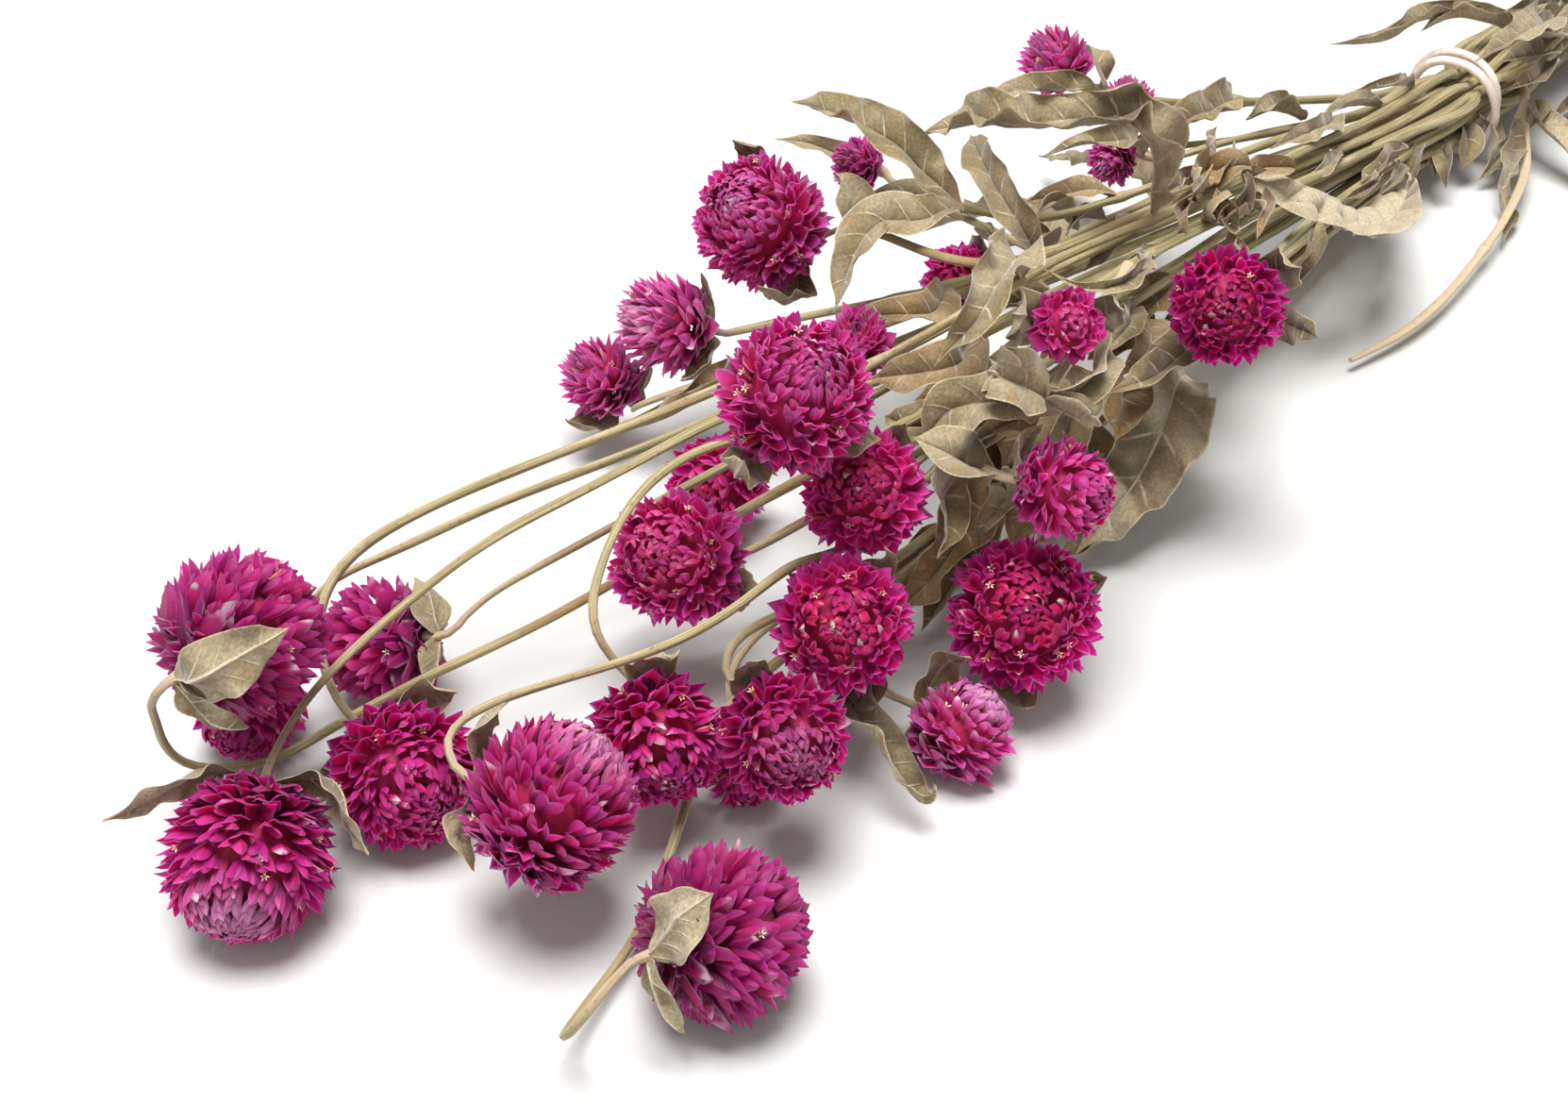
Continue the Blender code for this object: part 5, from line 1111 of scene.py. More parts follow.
def rolled(grid, mid, along, face, far, turns):
    """The grid with its tip rolled up over its face by so many turns."""
    start = far[-1] * (0.62 if abs(turns) > 0.8 else 0.72)
    k0 = int(np.searchsorted(far, start))
    if k0 >= len(far) - 3:
        return grid
    tangent, normal = along[k0], unit(face[k0] - along[k0] * (face[k0] @ along[k0])) * np.sign(turns)
    share = (far[k0:] - far[k0]) / (far[-1] - far[k0])
    angle = 2 * math.pi * abs(turns) * (0.55 * share + 0.45 * share ** 2)
    steps = np.diff(far[k0:], prepend=far[k0]) * MM
    middle = angle - np.diff(angle, prepend=0) / 2
    line = mid[k0] + np.cumsum(
        steps[:, None] * (tangent * np.cos(middle)[:, None] + normal * np.sin(middle)[:, None]), axis=0)
    lateral = np.cross(tangent, normal)
    done = grid.copy()
    for i, (spot, turn) in enumerate(zip(line, angle)):
        row = grid[k0 + i] - mid[k0 + i]
        here_along = along[k0 + i]
        here_face = unit(face[k0 + i] - here_along * (face[k0 + i] @ here_along)) * np.sign(turns)
        here_side = np.cross(here_along, here_face)
        a, f, s = row @ here_along, row @ here_face, row @ here_side
        new_along = tangent * math.cos(turn) + normal * math.sin(turn)
        new_face = normal * math.cos(turn) - tangent * math.sin(turn)
        done[k0 + i] = spot + a[:, None] * new_along + f[:, None] * new_face + s[:, None] * lateral
    return done


# Leaves that look unlike the rest, by their place in LEAVES
STYLES = {
    0: Style(1.4, 1.2, 0.50, 5.0, 0.6, 0, 0.30),
    1: Style(1.2, 1.0, 0.25, 3.8, 0.3, 0, 0.42),
    2: Style(1.2, 1.1, 0.25, 3.2, 0.7, 0, 0.5),
    3: Style(1.0, 0.7, 0.2, 4.0, 0.4, 0, 0.55),
    4: Style(1.25, 0.7, 0.2, 3.8, 0.3, 0, 0.5),
    12: Style(1.1, 1.0, 0.40, 4.0, 0.9, 0.4, 0.85),
    13: Style(1.3, 1.1, 0.3, 4.4, 0.6, 0, 0.55),
    18: Style(1.15, 0.9, 0.2, 4.0, 0.2, 1.5, 0.38),
    19: Style(1.2, 1.1, 0.25, 4.2, 0.3, 0, 0.45),
    20: Style(1.1, 1.0, 0.25, 3.8, 0.6, 0, 0.4),
    21: Style(1.15, 0.7, 0.2, 3.2, 0.5, 0.9, 0.3),
    22: Style(1.2, 0.8, 0.2, 4.0, 0.3, 0, 0.3),
    24: Style(1.2, 1.2, 0.25, 4.4, 0.4, 0, 0.6),
    25: Style(1.2, 1.1, 0.25, 4.4, 0.3, 0, 0.8),
    27: Style(1.0, 1.5, 0.60, 7.5, 0.05, 0, 0.16),
    28: Style(1.2, 0.9, 0.2, 5.0, 0.2, 0, 0.6),
    31: Style(1.25, 0.15, 1.5, 6.4, 0.3, 0, 0.05, True, 0.70),
    32: Style(1.2, 0.8, 0.3, 3.6, 0.8, 0, 0.5),
    34: Style(1.3, 0.6, 0.25, 4.6, 0.4, 0, 0.3),
    38: Style(1.3, 0.3, 0.08, 5.0, 0.5, 0, 0.12),
    42: Style(1.6, 0.9, 0.25, 3.4, 0.7, 0.5, 0.5),
}


def leaf_style(kind, number, rng):
    """A leaf's width, waves, pillows, vein spacing in mm, curl, roll and brownness."""
    if kind == "leaf" and number in STYLES:
        return STYLES[number]
    if kind == "leaf":
        return Style(1.15, rng.uniform(0.6, 1.1), rng.uniform(0.15, 0.3), rng.uniform(3.2, 4.4),
                     rng.uniform(-0.4, 0.9), 0, rng.uniform(0.25, 0.8))
    return Style(1.1, rng.uniform(0.8, 1.3), 0.25, rng.uniform(2.6, 3.4), rng.uniform(-0.2, 0.6), 0,
                 rng.uniform(0.25, 0.55))


# More leaves, too fine or too deep in the bunch to be solids: as LEAVES
LITTER = {
    # crumpled ends at the joint above the bundle
    "joint": [
        ([(1268, 235, 34), (1282, 215, 39), (1302, 200, 40)], 5.0, (0, 0.5, 0.8), (0.6, 0, 0.8), 55),
        ([(1290, 245, 33), (1296, 220, 38), (1288, 196, 41)], 4.5, (0.4, 0.2, 0.9), (-0.4, 0.2, 0.9), 60),
        ([(1310, 225, 33), (1322, 200, 38), (1316, 178, 40)], 4.0, (0.5, 0.2, 0.8), (0, 0.4, 0.9), 60),
        ([(1275, 195, 36), (1300, 178, 40), (1328, 176, 39)], 5.0, (0, 0.4, 0.9), (0.2, 0, 1), 50),
        ([(1255, 215, 35), (1250, 235, 37), (1262, 252, 36)], 4.0, (0, 0.3, 0.9), (0.3, 0.3, 0.9), 55),
        ([(1300, 260, 30), (1318, 275, 32), (1322, 292, 31)], 3.5, (0.3, 0.3, 0.9), (0.3, 0.3, 0.9), 60),
        ([(1330, 190, 34), (1350, 178, 37), (1376, 180, 36)], 4.5, (0, 0.5, 0.8), (0, 0.4, 0.9), 55),
        ([(1262, 180, 36), (1250, 196, 38), (1256, 216, 37)], 4.0, (0, 0.4, 0.9), (0.3, 0.3, 0.9), 55),
        ([(1318, 240, 32), (1300, 232, 36), (1280, 240, 37)], 4.5, (0.2, 0.3, 0.9), (0, 0.5, 0.9), 50),
        ([(1335, 215, 32), (1342, 235, 34), (1330, 256, 33)], 4.0, (0.2, 0.3, 0.9), (0, 0.5, 0.9), 50),
    ],
    # among the stems, between the joint and the tie
    "stems": [
        ([(1420, 168, 22), (1396, 186, 25), (1368, 196, 24)], 4.5, (0, 0.4, 0.9), (0.2, 0.2, 0.9), 60),
        ([(1462, 186, 18), (1448, 200, 21), (1420, 214, 21)], 4.5, (0.2, 0.3, 0.9), (0, 0.4, 0.9), 60),
        ([(1488, 172, 15), (1478, 192, 17), (1456, 212, 17)], 4.0, (0.3, 0.2, 0.9), (0, 0.4, 0.9), 55),
        ([(1505, 150, 14), (1500, 176, 12), (1490, 196, 9)], 4.5, (-0.3, 0.2, 0.9), (0, 0.4, 0.9), 55),
        ([(1385, 120, 24), (1352, 116, 28), (1318, 128, 30)], 5.5, (0, 0.5, 0.8), (0, 0.6, 0.8), 50),
        ([(1470, 108, 20), (1430, 112, 24), (1398, 124, 25)], 4.5, (0, 0.5, 0.8), (0, 0.6, 0.8), 55),
        ([(1300, 305, 26), (1262, 330, 24), (1225, 352, 20)], 5.5, (0.2, 0.3, 0.9), (0.1, 0.3, 0.9), 45),
        ([(1240, 262, 33), (1205, 285, 35), (1172, 298, 36)], 5.0, (0, 0.5, 0.8), (0.2, 0.4, 0.9), 50),
    ],
    # round the tie and beyond it
    "tie": [
        ([(1550, 128, 10), (1556, 150, 8), (1548, 182, 4)], 5.5, (-0.2, 0.5, 0.8), (0.2, 0.5, 0.8), 50),
        ([(1528, 136, 11), (1518, 160, 8), (1520, 190, 4)], 5.0, (-0.4, 0.3, 0.8), (0, 0.5, 0.8), 50),
        ([(1572, 118, 9), (1580, 142, 7), (1576, 176, 3.5)], 5.0, (0, 0.6, 0.8), (0.3, 0.5, 0.8), 50),
        ([(1650, 52, 17), (1622, 60, 20), (1586, 66, 21)], 7.0, (0, 0.4, 0.9), (0.2, 0.3, 0.9)),
        ([(1662, 30, 17), (1634, 36, 21), (1592, 42, 23)], 8.0, (0.1, 0.3, 0.9), (0, 0.3, 0.9), 30),
        ([(1650, 70, 14), (1624, 88, 17), (1596, 96, 18)], 6.5, (0.1, 0.3, 0.9), (0, 0.4, 0.9), 45),
        ([(1612, 34, 19), (1576, 22, 23), (1540, 18, 24), (1504, 34, 23)],
            6.0, (0, 0.6, 0.8), (0, 0.5, 0.9), 50),
        ([(1655, 10, 17), (1622, 8, 24), (1590, 14, 25)], 6.0, (0, 0.6, 0.8), (0, 0.5, 0.9), 50),
        ([(1640, 96, 12), (1630, 124, 9), (1612, 150, 5)], 5.0, (0.2, 0.5, 0.8), (0, 0.6, 0.8), 45),
    ],
    # deep in the leafy middle, behind the leaves of LEAVES
    "deep": [
        ([(1120, 400, 26), (1085, 452, 24), (1060, 500, 20)], 8.0, (0, 0.3, 0.9), (0.2, 0.3, 0.9), 30),
        ([(1150, 400, 24), (1130, 452, 22), (1118, 505, 17)], 8.0, (0.2, 0.3, 0.9), (-0.1, 0.3, 0.9), 30),
        ([(1180, 390, 24), (1190, 430, 25), (1182, 470, 22)], 8.0, (0.3, 0.2, 0.9), (0.3, 0.2, 0.9)),
        ([(1230, 340, 26), (1216, 372, 28), (1186, 400, 28)], 7.5, (0.3, 0.3, 0.9), (0.1, 0.4, 0.9)),
        ([(1060, 440, 24), (1020, 480, 22), (985, 500, 20)], 7.5, (0, 0.3, 0.9), (0, 0.3, 0.9), 30),
        ([(1080, 430, 24), (1052, 515, 16), (1010, 560, 11)], 8.0, (0.1, 0.2, 1), (-0.1, 0.2, 1), 30),
        ([(1110, 440, 22), (1098, 520, 12), (1070, 590, 6)], 8.5, (0.2, 0.2, 1), (-0.1, 0.3, 1), 30),
        ([(1150, 430, 18), (1156, 500, 9), (1140, 560, 4)], 8.0, (0.2, 0.3, 0.9), (-0.1, 0.3, 1), 30),
        ([(1000, 440, 28), (962, 452, 30), (935, 440, 30)], 6.5, (0, 0.3, 0.9), (-0.2, 0.3, 0.9), 40),
        ([(1030, 400, 32), (1000, 420, 35), (965, 425, 36)], 6.5, (0, 0.4, 0.9), (0, 0.4, 0.9), 45),
        ([(990, 540, 18), (965, 600, 11), (925, 655, 5)], 6.5, (0.3, 0.1, 0.9), (-0.3, 0.2, 0.9), 40),
        ([(1052, 520, 14), (1020, 600, 7), (975, 672, 3)], 7.0, (0.3, 0.1, 0.9), (-0.3, 0.2, 0.9)),
        ([(1262, 305, 27), (1225, 318, 26), (1186, 344, 24)], 7.0, (0.1, 0.4, 0.9), (0.1, 0.3, 0.9), 40),
        ([(1230, 328, 25), (1190, 352, 22), (1150, 384, 20)], 7.5, (0.2, 0.3, 0.9), (0.1, 0.3, 0.9)),
        ([(1180, 345, 29), (1140, 362, 27), (1098, 384, 26)], 7.0, (0, 0.4, 0.9), (0.1, 0.3, 0.9)),
        ([(1112, 300, 33), (1080, 318, 30), (1046, 338, 29)], 6.5, (0, 0.4, 0.9), (0, 0.4, 0.9), 45),
    ],
    # round the upper joints, by the far side
    "upper": [
        ([(1140, 235, 33), (1112, 216, 38), (1098, 228, 40)], 5.0, (0.2, 0.4, 0.9), (0.5, 0, 0.8), 55),
        ([(1120, 262, 34), (1092, 256, 37), (1062, 262, 37)], 5.5, (0, 0.4, 0.9), (0, 0.5, 0.9), 50),
        ([(1075, 270, 36), (1048, 256, 38), (1030, 240, 39)], 4.5, (0.2, 0.4, 0.9), (0, 0.5, 0.9), 50),
        ([(1160, 215, 33), (1142, 232, 36), (1128, 252, 36)], 4.5, (0.4, 0.3, 0.8), (0.2, 0.4, 0.9), 60),
        ([(1195, 238, 34), (1168, 262, 36), (1148, 290, 35)], 5.0, (0.3, 0.4, 0.9), (0.3, 0.3, 0.9), 45),
        ([(905, 225, 38), (915, 245, 36), (908, 262, 34)], 4.0, (0.2, 0.5, 0.8), (0, 0.5, 0.8), 50),
    ],
    # beyond the edge of the photograph, as further along the stems
    "beyond": [
        ([(1700, -10, 16), (1668, 14, 21), (1640, 24, 21)], 6.5, (0, 0.4, 0.9), (0, 0.4, 0.9), 45),
        ([(1725, -30, 15), (1700, -44, 20), (1664, -38, 21)], 5.5, (0, 0.5, 0.8), (0, 0.5, 0.8), 50),
        ([(1740, 0, 11), (1722, 30, 8), (1700, 64, 4)], 5.5, (0.1, 0.5, 0.8), (0, 0.5, 0.8), 45),
    ],
}


def litter_style(place, rng):
    """As leaf_style, for the leaves of LITTER: the joint's are brown and curled, the deep ones broad."""
    if place == "joint":
        curl, roll = rng.uniform(0.5, 1.2), rng.choice([0, 0.6, -0.6])
        return Style(1.35, 1.1, 0.2, 3.0, curl, roll, rng.uniform(0.62, 0.85))
    if place == "deep":
        return Style(1.25, 1.0, 0.25, 4.4, rng.uniform(0.0, 0.6), 0, rng.uniform(0.45, 0.9))
    return Style(1.15, rng.uniform(0.5, 0.9), 0.2, 3.6, rng.uniform(0.1, 0.8), 0, rng.uniform(0.2, 0.7))


def litter_blades(strands, blooms):
    """The places and leaves of LITTER, each as left edge, midrib and right edge, clear of the blooms."""
    lines = np.vstack([s.points for s in strands])
    for place, leaf in ((place, Leaf(*row)) for place, rows in LITTER.items() for row in rows):
        route = [seen(*q) for q in leaf.route]
        start = np.linalg.norm(lines - route[0], axis=1).argmin()
        spine = through([route[0] * 0.4 + lines[start] * 0.6] + route[1:], 1.2 * MM)
        for middle, radius, _ in blooms.values():
            apart = spine - middle
            length = np.linalg.norm(apart, axis=1, keepdims=True)
            spine = spine + apart / length * np.clip(radius + 1.5 * MM - length, 0, None)
        spine = smooth(spine, 1.0)
        u = np.linspace(0, 1, len(spine))[:, None]
        faces = unit(facing(*leaf.root_faces) * (1 - u) + facing(*leaf.tip_faces) * u)
        block = columns(spine, faces, leaf.across, leaf.fold)
        block[..., 2] = np.maximum(block[..., 2], 0.8 * MM)
        yield place, block


def filler_strands(strands, count):
    """Thinner stalks that fill the bundle, each midway between three of the stems that it lies among."""
    rng = np.random.default_rng(FILLER_SEED)
    long = [s for s in strands if s.first and s.bloom]
    steps = np.linspace(-95, TAIL / MM - 6, 70) * MM
    lanes = []
    for strand in long:
        past = (strand.points - TIE) @ TIE_AXIS
        order = np.argsort(past)
        lanes.append(np.stack([np.interp(steps, past[order], strand.points[order, k]) for k in range(3)], 1))
    lanes = np.array(lanes)
    made = []
    for _ in range(count):
        home = rng.integers(len(lanes))
        gaps = np.linalg.norm(lanes[:, 32] - lanes[home, 32], axis=1)
        mates = np.argsort(gaps)[1:7]
        trio = np.concatenate([[home], rng.choice(mates, 2, replace=False)])
        shares = rng.dirichlet((3, 3, 3))
        first = rng.integers(0, 22)
        line = np.tensordot(shares, lanes[trio], axes=1)[first:len(steps) - rng.integers(0, 5)]
        line = smooth(line, 2.0)
        line[:, 2] = np.maximum(line[:, 2], 1.0 * MM)
        radius = np.full(len(line), rng.uniform(0.6, 0.85) * MM)
        radius[:3] *= (0.4, 0.7, 0.9)
        made.append(Strand("filler", False, None, line, radius, None, walk(line)))
    return made


# The finishes


# The steps that a finish is made of: Blender's node, its settings and the output that is used. A step
# that isn't listed is an operation of the Math node.
STEPS = {
    "painted": ("Attribute", {}, "Vector"),
    "apart": ("SeparateXYZ", {}, "X"),
    "together": ("CombineXYZ", {}, "Vector"),
    "place": ("TexCoord", {}, "Object"),
    "noise": ("TexNoise", {}, 0),
    "relief": ("Bump", {}, "Normal"),
    "ramp": ("ValToRGB", {}, "Color"),
    "hue": ("HueSaturation", {}, "Color"),
    "rise": ("MapRange", {"interpolation_type": "SMOOTHSTEP"}, "Result"),
    "blend": ("Mix", {"data_type": "RGBA"}, 2),
    "grain": ("Mix", {"data_type": "RGBA", "blend_type": "MULTIPLY"}, 2),
    "share": ("Math", {"operation": "MULTIPLY", "use_clamp": True}, 0),
}


def feed(made, sockets):
    """Give a node's sockets, by name or number, a value or another node's output."""
    for name, value in sockets.items():
        if isinstance(value, bpy.types.NodeSocket):
            made.id_data.links.new(value, made.inputs[name])
        else:
            made.inputs[name].default_value = value


def node(tree, step, *values, sockets=None, stops=(), **settings):
    """Add a node with its settings; the values go to its sockets in use, in order, or by their names."""
    kind, fixed, output = STEPS.get(step, ("Math", {"operation": step}, 0))
    made = tree.nodes.new("ShaderNode" + kind)
    for name, value in {**fixed, **settings}.items():
        setattr(made, name, value)
    in_use = [k for k, socket in enumerate(made.inputs) if socket.enabled]
    feed(made, {**dict(zip(in_use, values)), **(sockets or {})})
    if stops:
        elements = made.color_ramp.elements
        while len(elements) < len(stops):
            elements.new(1.0)
        for element, (element_at, colour) in zip(elements, stops):
            element.position = element_at
            element.color = colour
    return made.outputs[output]


def blank(name, sockets):
    """A material with its Principled shader, and its painted values taken apart."""
    made = bpy.data.materials.new(name)
    made.use_nodes = True
    shader = made.node_tree.nodes["Principled BSDF"]
    feed(shader, sockets)
    add = functools.partial(node, made.node_tree)
    values = []
    for title in ("blade", "habit"):
        values += add("apart", add("painted", attribute_name=title)).node.outputs
    return made, add, shader, values


def bracteole_finish(looks):
    """Scarious bracteoles: thin dry betalain-stained paper, satin, paler and frayed at the margin, with
    painted glints, sheen and shade.
    """
    made, add, shader, (across, along, chance, polar, frost_and_sheen, tone) = blank("papery_bracteole", {
        "Roughness": 0.50, "Sheen Weight": 0.06, "Sheen Roughness": 0.4, "Specular IOR Level": 0.22,
        "Subsurface Weight": 0.60, "Subsurface Radius": (1.0, 0.10, 0.30), "Subsurface Scale": 0.0018,
    })
    edge = add("ABSOLUTE", across)
    zone = add("ramp", polar, stops=[(0.0, looks.petal), (0.62, looks.petal), (0.85, looks.basal)])
    crimson = add("MULTIPLY", add("rise", polar, 0.32, 0.12), add("rise", frost_and_sheen, 0.0, -1.0, 0.15, 1.0))
    zone = add("blend", crimson, zone, looks.centre)
    zone = add("blend", add("MULTIPLY", tone, 0.55), zone, looks.faded)
    # veins run lengthwise, about 0.25 mm apart, so the noise is drawn out about 20 to 1 along them
    drawn = [add("MULTIPLY", across, 5.0), add("MULTIPLY", along, 1.3), add("MULTIPLY", chance, 40.0)]
    streak = add("noise", add("together", *drawn), 1.0, 3.0)
    # bleached patches, and frayed ones with painted glints, are about 2 mm across
    patch = add("noise", add("place"), 420.0, 2.0)
    # the lower part of each bracteole, between its neighbours, is its own deep crimson, with painted light:
    # lighter than the shade there, as if lit through the thin paper
    inner = add("blend", add("rise", polar, 0.36, 0.72), looks.deep, hex_colour("#A00E4C"))
    deep = add("blend", add("rise", along, 0.30, 0.72, 0.9, 0.0), zone, inner)
    light = add("MULTIPLY", add("rise", along, 0.60, 0.92), add("rise", streak, 0.42, 0.64, 0.1, 0.7))
    light = add("MULTIPLY", light, add("rise", polar, 0.08, 0.28, 0.15, 1.0))
    light = add("MULTIPLY", light, add("rise", polar, 0.50, 0.70, 1.0, 0.55))
    lit = add("blend", light, deep, looks.tip)
    # painted highlight: the pale frayed margins are partly real fraying and partly glints of light along the
    # thin edges
    fray_and_glint = add("MULTIPLY", add("rise", edge, 0.80, 1.0), add("rise", patch, 0.50, 0.66, 0.0, 0.7))
    fray_and_glint = add("MULTIPLY", fray_and_glint, add("rise", along, 0.5, 0.8))
    bare = add("MULTIPLY", add("rise", edge, 0.55, 0.95), add("rise", polar, 0.68, 0.76, 0.0, 0.75))
    fray_and_glint = add("MAXIMUM", fray_and_glint, add("MULTIPLY", bare, add("rise", streak, 0.40, 0.58)))
    worn_and_glinting = add("blend", fray_and_glint, lit, looks.margin)
    rare = add("MULTIPLY", add("rise", chance, 0.86, 0.93), add("rise", patch, 0.46, 0.60, 0.0, 0.8))
    bleached = add("MULTIPLY", rare, add("rise", along, 0.62, 0.9))
    worn_and_glinting = add("blend", bleached, worn_and_glinting, hex_colour("#EBC3D2"))
    # painted sheen: frosted crowns turn pale pink, partly from their pale scarious tips and partly from light
    # glancing off them
    pale_tips_and_sheen = add("MULTIPLY", frost_and_sheen, add("rise", polar, 0.27, 0.05))
    pale_tips_and_sheen = add("MULTIPLY", pale_tips_and_sheen, add("rise", streak, 0.36, 0.58, 0.25, 0.8))
    pale_tipped_and_sheened = add("blend", pale_tips_and_sheen, worn_and_glinting, hex_colour("#F094BE"))
    point = add("MULTIPLY", add("rise", along, 0.93, 1.0), add("rise", polar, 0.14, 0.3, 0.0, 0.65))
    pointed = add("blend", point, pale_tipped_and_sheened, hex_colour("#6A0E45"))
    # painted shade: darker towards each head's base; painted light: crimson heads brighter; each bracteole
    # also lighter or darker at random, and the darker heads darker still
    shaded = add(
        "MULTIPLY", add("rise", chance, 0.0, 1.0, 0.78, 1.10), add("rise", polar, 0.50, 0.74, 1.0, 0.80))
    shaded = add("MULTIPLY", shaded, add("rise", frost_and_sheen, 0.0, -1.0, 1.0, 1.14))
    shaded = add("MULTIPLY", shaded, add("ADD", 1.0, add("MINIMUM", tone, 0.0)))
    turned = add("rise", chance, 0.2, 0.9, 0.486, 0.504)
    toned = add("hue", sockets={"Hue": turned, "Value": shaded, "Color": pointed})
    relief = add("relief", sockets={"Height": streak, "Strength": 0.5, "Distance": 0.00012})
    feed(shader, {"Base Color": toned, "Normal": relief})
    return made


def floret_finish(looks):
    """Dried corolla lobes: straw-coloured and dull, browned on some, with tubes the colour of the head."""
    made, add, shader, (_, _, chance, _, tube, _) = blank("dry_corolla", {
        "Roughness": 0.6, "Sheen Weight": 0.1,
    })
    browned = add("blend", add("rise", chance, 0.0, 1.0, 0.0, 0.6), looks.floret, hex_colour("#D9A86C"))
    reddened = add("blend", add("MULTIPLY", tube, 0.85), browned, hex_colour("#B5303E"))
    feed(shader, {"Base Color": reddened})
    return made


def heart_finish():
    """The dark heart of a head, seen only between its bracteoles."""
    made, add, shader, _ = blank("shaded_heart", {"Roughness": 0.7})
    mottle = add("noise", add("place"), 900.0, 3.0)
    feed(shader, {"Base Color": add("blend", mottle, hex_colour("#8A0C3E"), hex_colour("#B41254"))})
    return made


def stalk_finish(looks):
    """Dried stalks: ribbed, fibrous, straw to olive, pinkish and felted with hairs below each head."""
    made, add, shader, (turn_a, far, chance, near_head, turn_b, shade) = blank("dried_ribbed_stalk", {
        "Roughness": 0.62, "Sheen Weight": 0.25, "Sheen Roughness": 0.4,
    })
    # fibres are about 0.3 mm apart and run on for some 10 mm
    drawn = [
        add("MULTIPLY_ADD", turn_a, 2.2, add("MULTIPLY", chance, 30.0)),
        add("MULTIPLY", turn_b, 2.2), add("MULTIPLY", far, 0.05),
    ]
    fibre = add("noise", add("together", *drawn), 1.6, 4.0)
    cloud = add("noise", add("place"), 60.0, 3.0)
    spot = add("noise", add("place"), 1500.0, 2.0)
    base = add("blend", add("rise", fibre, 0.40, 0.60), looks.olive, looks.straw)
    brown = add("MULTIPLY", add("rise", cloud, 0.48, 0.68), add("rise", shade, 0.2, 0.9, 0.3, 1.0))
    warmed = add("blend", brown, base, looks.brown)
    bared = add("blend", add("share", near_head, -0.9), warmed, hex_colour("#D4BE9E"))
    pale = add("blend", add("share", near_head, 0.85), bared, looks.neck)
    flecked = add("blend", add("rise", spot, 0.60, 0.72, 0.0, 0.45), pale, hex_colour("#5C4A2C"))
    height = add("MULTIPLY_ADD", spot, 0.35, fibre)
    relief = add("relief", sockets={"Height": height, "Strength": 0.8, "Distance": 0.00025})
    feed(shader, {"Base Color": flecked, "Normal": relief})
    return made


def leaf_finish(looks):
    """Dried leaf: matt, felted with short pale hairs, paler beneath, with raised light veins and painted
    shade in its folds.
    """
    made, add, shader, (across, along, side, vein, sunk, tint) = blank("felted_dry_leaf", {
        "Roughness": 0.85, "Sheen Weight": 0.30, "Specular IOR Level": 0.25, "Subsurface Weight": 0.15,
        "Subsurface Radius": (1.0, 0.75, 0.35), "Subsurface Scale": 0.0006,
    })
    edge = add("ABSOLUTE", across)
    spot = add("place")
    # clouds of about 8 mm, blotches of 3 mm and hairs of 0.4 mm
    cloud = add("noise", spot, 120.0, 5.0)
    blotch = add("noise", spot, 330.0, 3.0)
    felt = add("noise", spot, 2400.0, 2.0)
    base = add("blend", add("rise", cloud, 0.38, 0.62), looks.olive, looks.grey)
    tinted = add("blend", add("rise", tint, 0.50, 0.95, 0.0, 0.85), base, looks.brown)
    paled = add("blend", add("rise", tint, 0.40, 0.0, 0.0, 0.85), tinted, looks.pale)
    under = add("blend", add("rise", side, 0.5, -0.5, 0.0, 0.30), paled, looks.pale)
    ends = add("ADD", add("rise", along, 0.12, 0.0, 0.0, 0.6), add("rise", along, 0.88, 1.0, 0.0, 0.6))
    rusty = add("MULTIPLY", add("rise", blotch, 0.56, 0.72), add("rise", edge, 0.3, 0.9, 0.15, 0.75))
    browned = add("blend", add("MAXIMUM", ends, rusty), under, looks.brown)
    # painted shade: what crumples inwards is painted dark brown, the shadow in its folds
    painted_fold_shade = add("MULTIPLY", add("rise", sunk, 0.10, 0.75), add("rise", cloud, 0.35, 0.60, 0.35, 0.85))
    browned = add("blend", painted_fold_shade, browned, looks.fold_shade_colour)
    # side veins are about 4 mm apart and 0.3 mm wide
    nearest = add("ABSOLUTE", add("SUBTRACT", add("FRACT", vein), 0.5))
    line = add("MULTIPLY", add("rise", nearest, 0.43, 0.5), add("rise", edge, 0.98, 0.3, 0.0, 0.8))
    line = add("MULTIPLY", line, add("rise", blotch, 0.35, 0.6, 0.25, 1.0))
    rib = add("MAXIMUM", line, add("rise", edge, 0.07, 0.02, 0.0, 0.75))
    lines = add("MAXIMUM", rib, add("rise", edge, 0.93, 1.0, 0.0, 0.7))
    veined = add("blend", lines, browned, looks.vein)
    hairs = add("ramp", felt, stops=[(0.3, hex_colour("#B4B2AC")), (0.7, hex_colour("#FFFFFF"))])
    felted = add("grain", 0.7, veined, hairs)
    height = add("MULTIPLY_ADD", rib, 1.2, add("MULTIPLY_ADD", felt, 0.45, blotch))
    relief = add("relief", sockets={"Height": height, "Strength": 0.6, "Distance": 0.00028})
    feed(shader, {"Base Color": felted, "Normal": relief})
    return made


def rubber_finish(looks):
    """Cut natural rubber: pinkish white, dull, with faint dusty marks."""
    made, add, shader, _ = blank("natural_rubber", {
        "Roughness": 0.55, "Subsurface Weight": 0.15, "Subsurface Scale": 0.0015,
    })
    dust = add("noise", add("place"), 700.0, 3.0)
    toned = add("blend", add("rise", dust, 0.4, 0.7, 0.0, 0.5), looks.colour, hex_colour("#CDB2A2"))
    relief = add("relief", sockets={"Height": dust, "Strength": 0.3, "Distance": 0.0001})
    feed(shader, {"Base Color": toned, "Normal": relief})
    return made


# The knot on the broken shoot below the tie
BROKEN_KNOT = (1573, 264, 4)


def colour_setting(name, description, shade):
    """A colour that a user may change."""
    return FloatVectorProperty(
        name=name, description=description, default=hex_colour(shade), subtype="COLOR", size=4, min=0, max=1)


# Some heads by number. Crowns that face another way than their solid's, as the photograph shows them
CROWNS = {6: (0.70, -0.13, 0.70), 13: (0.55, -0.25, 0.80)}
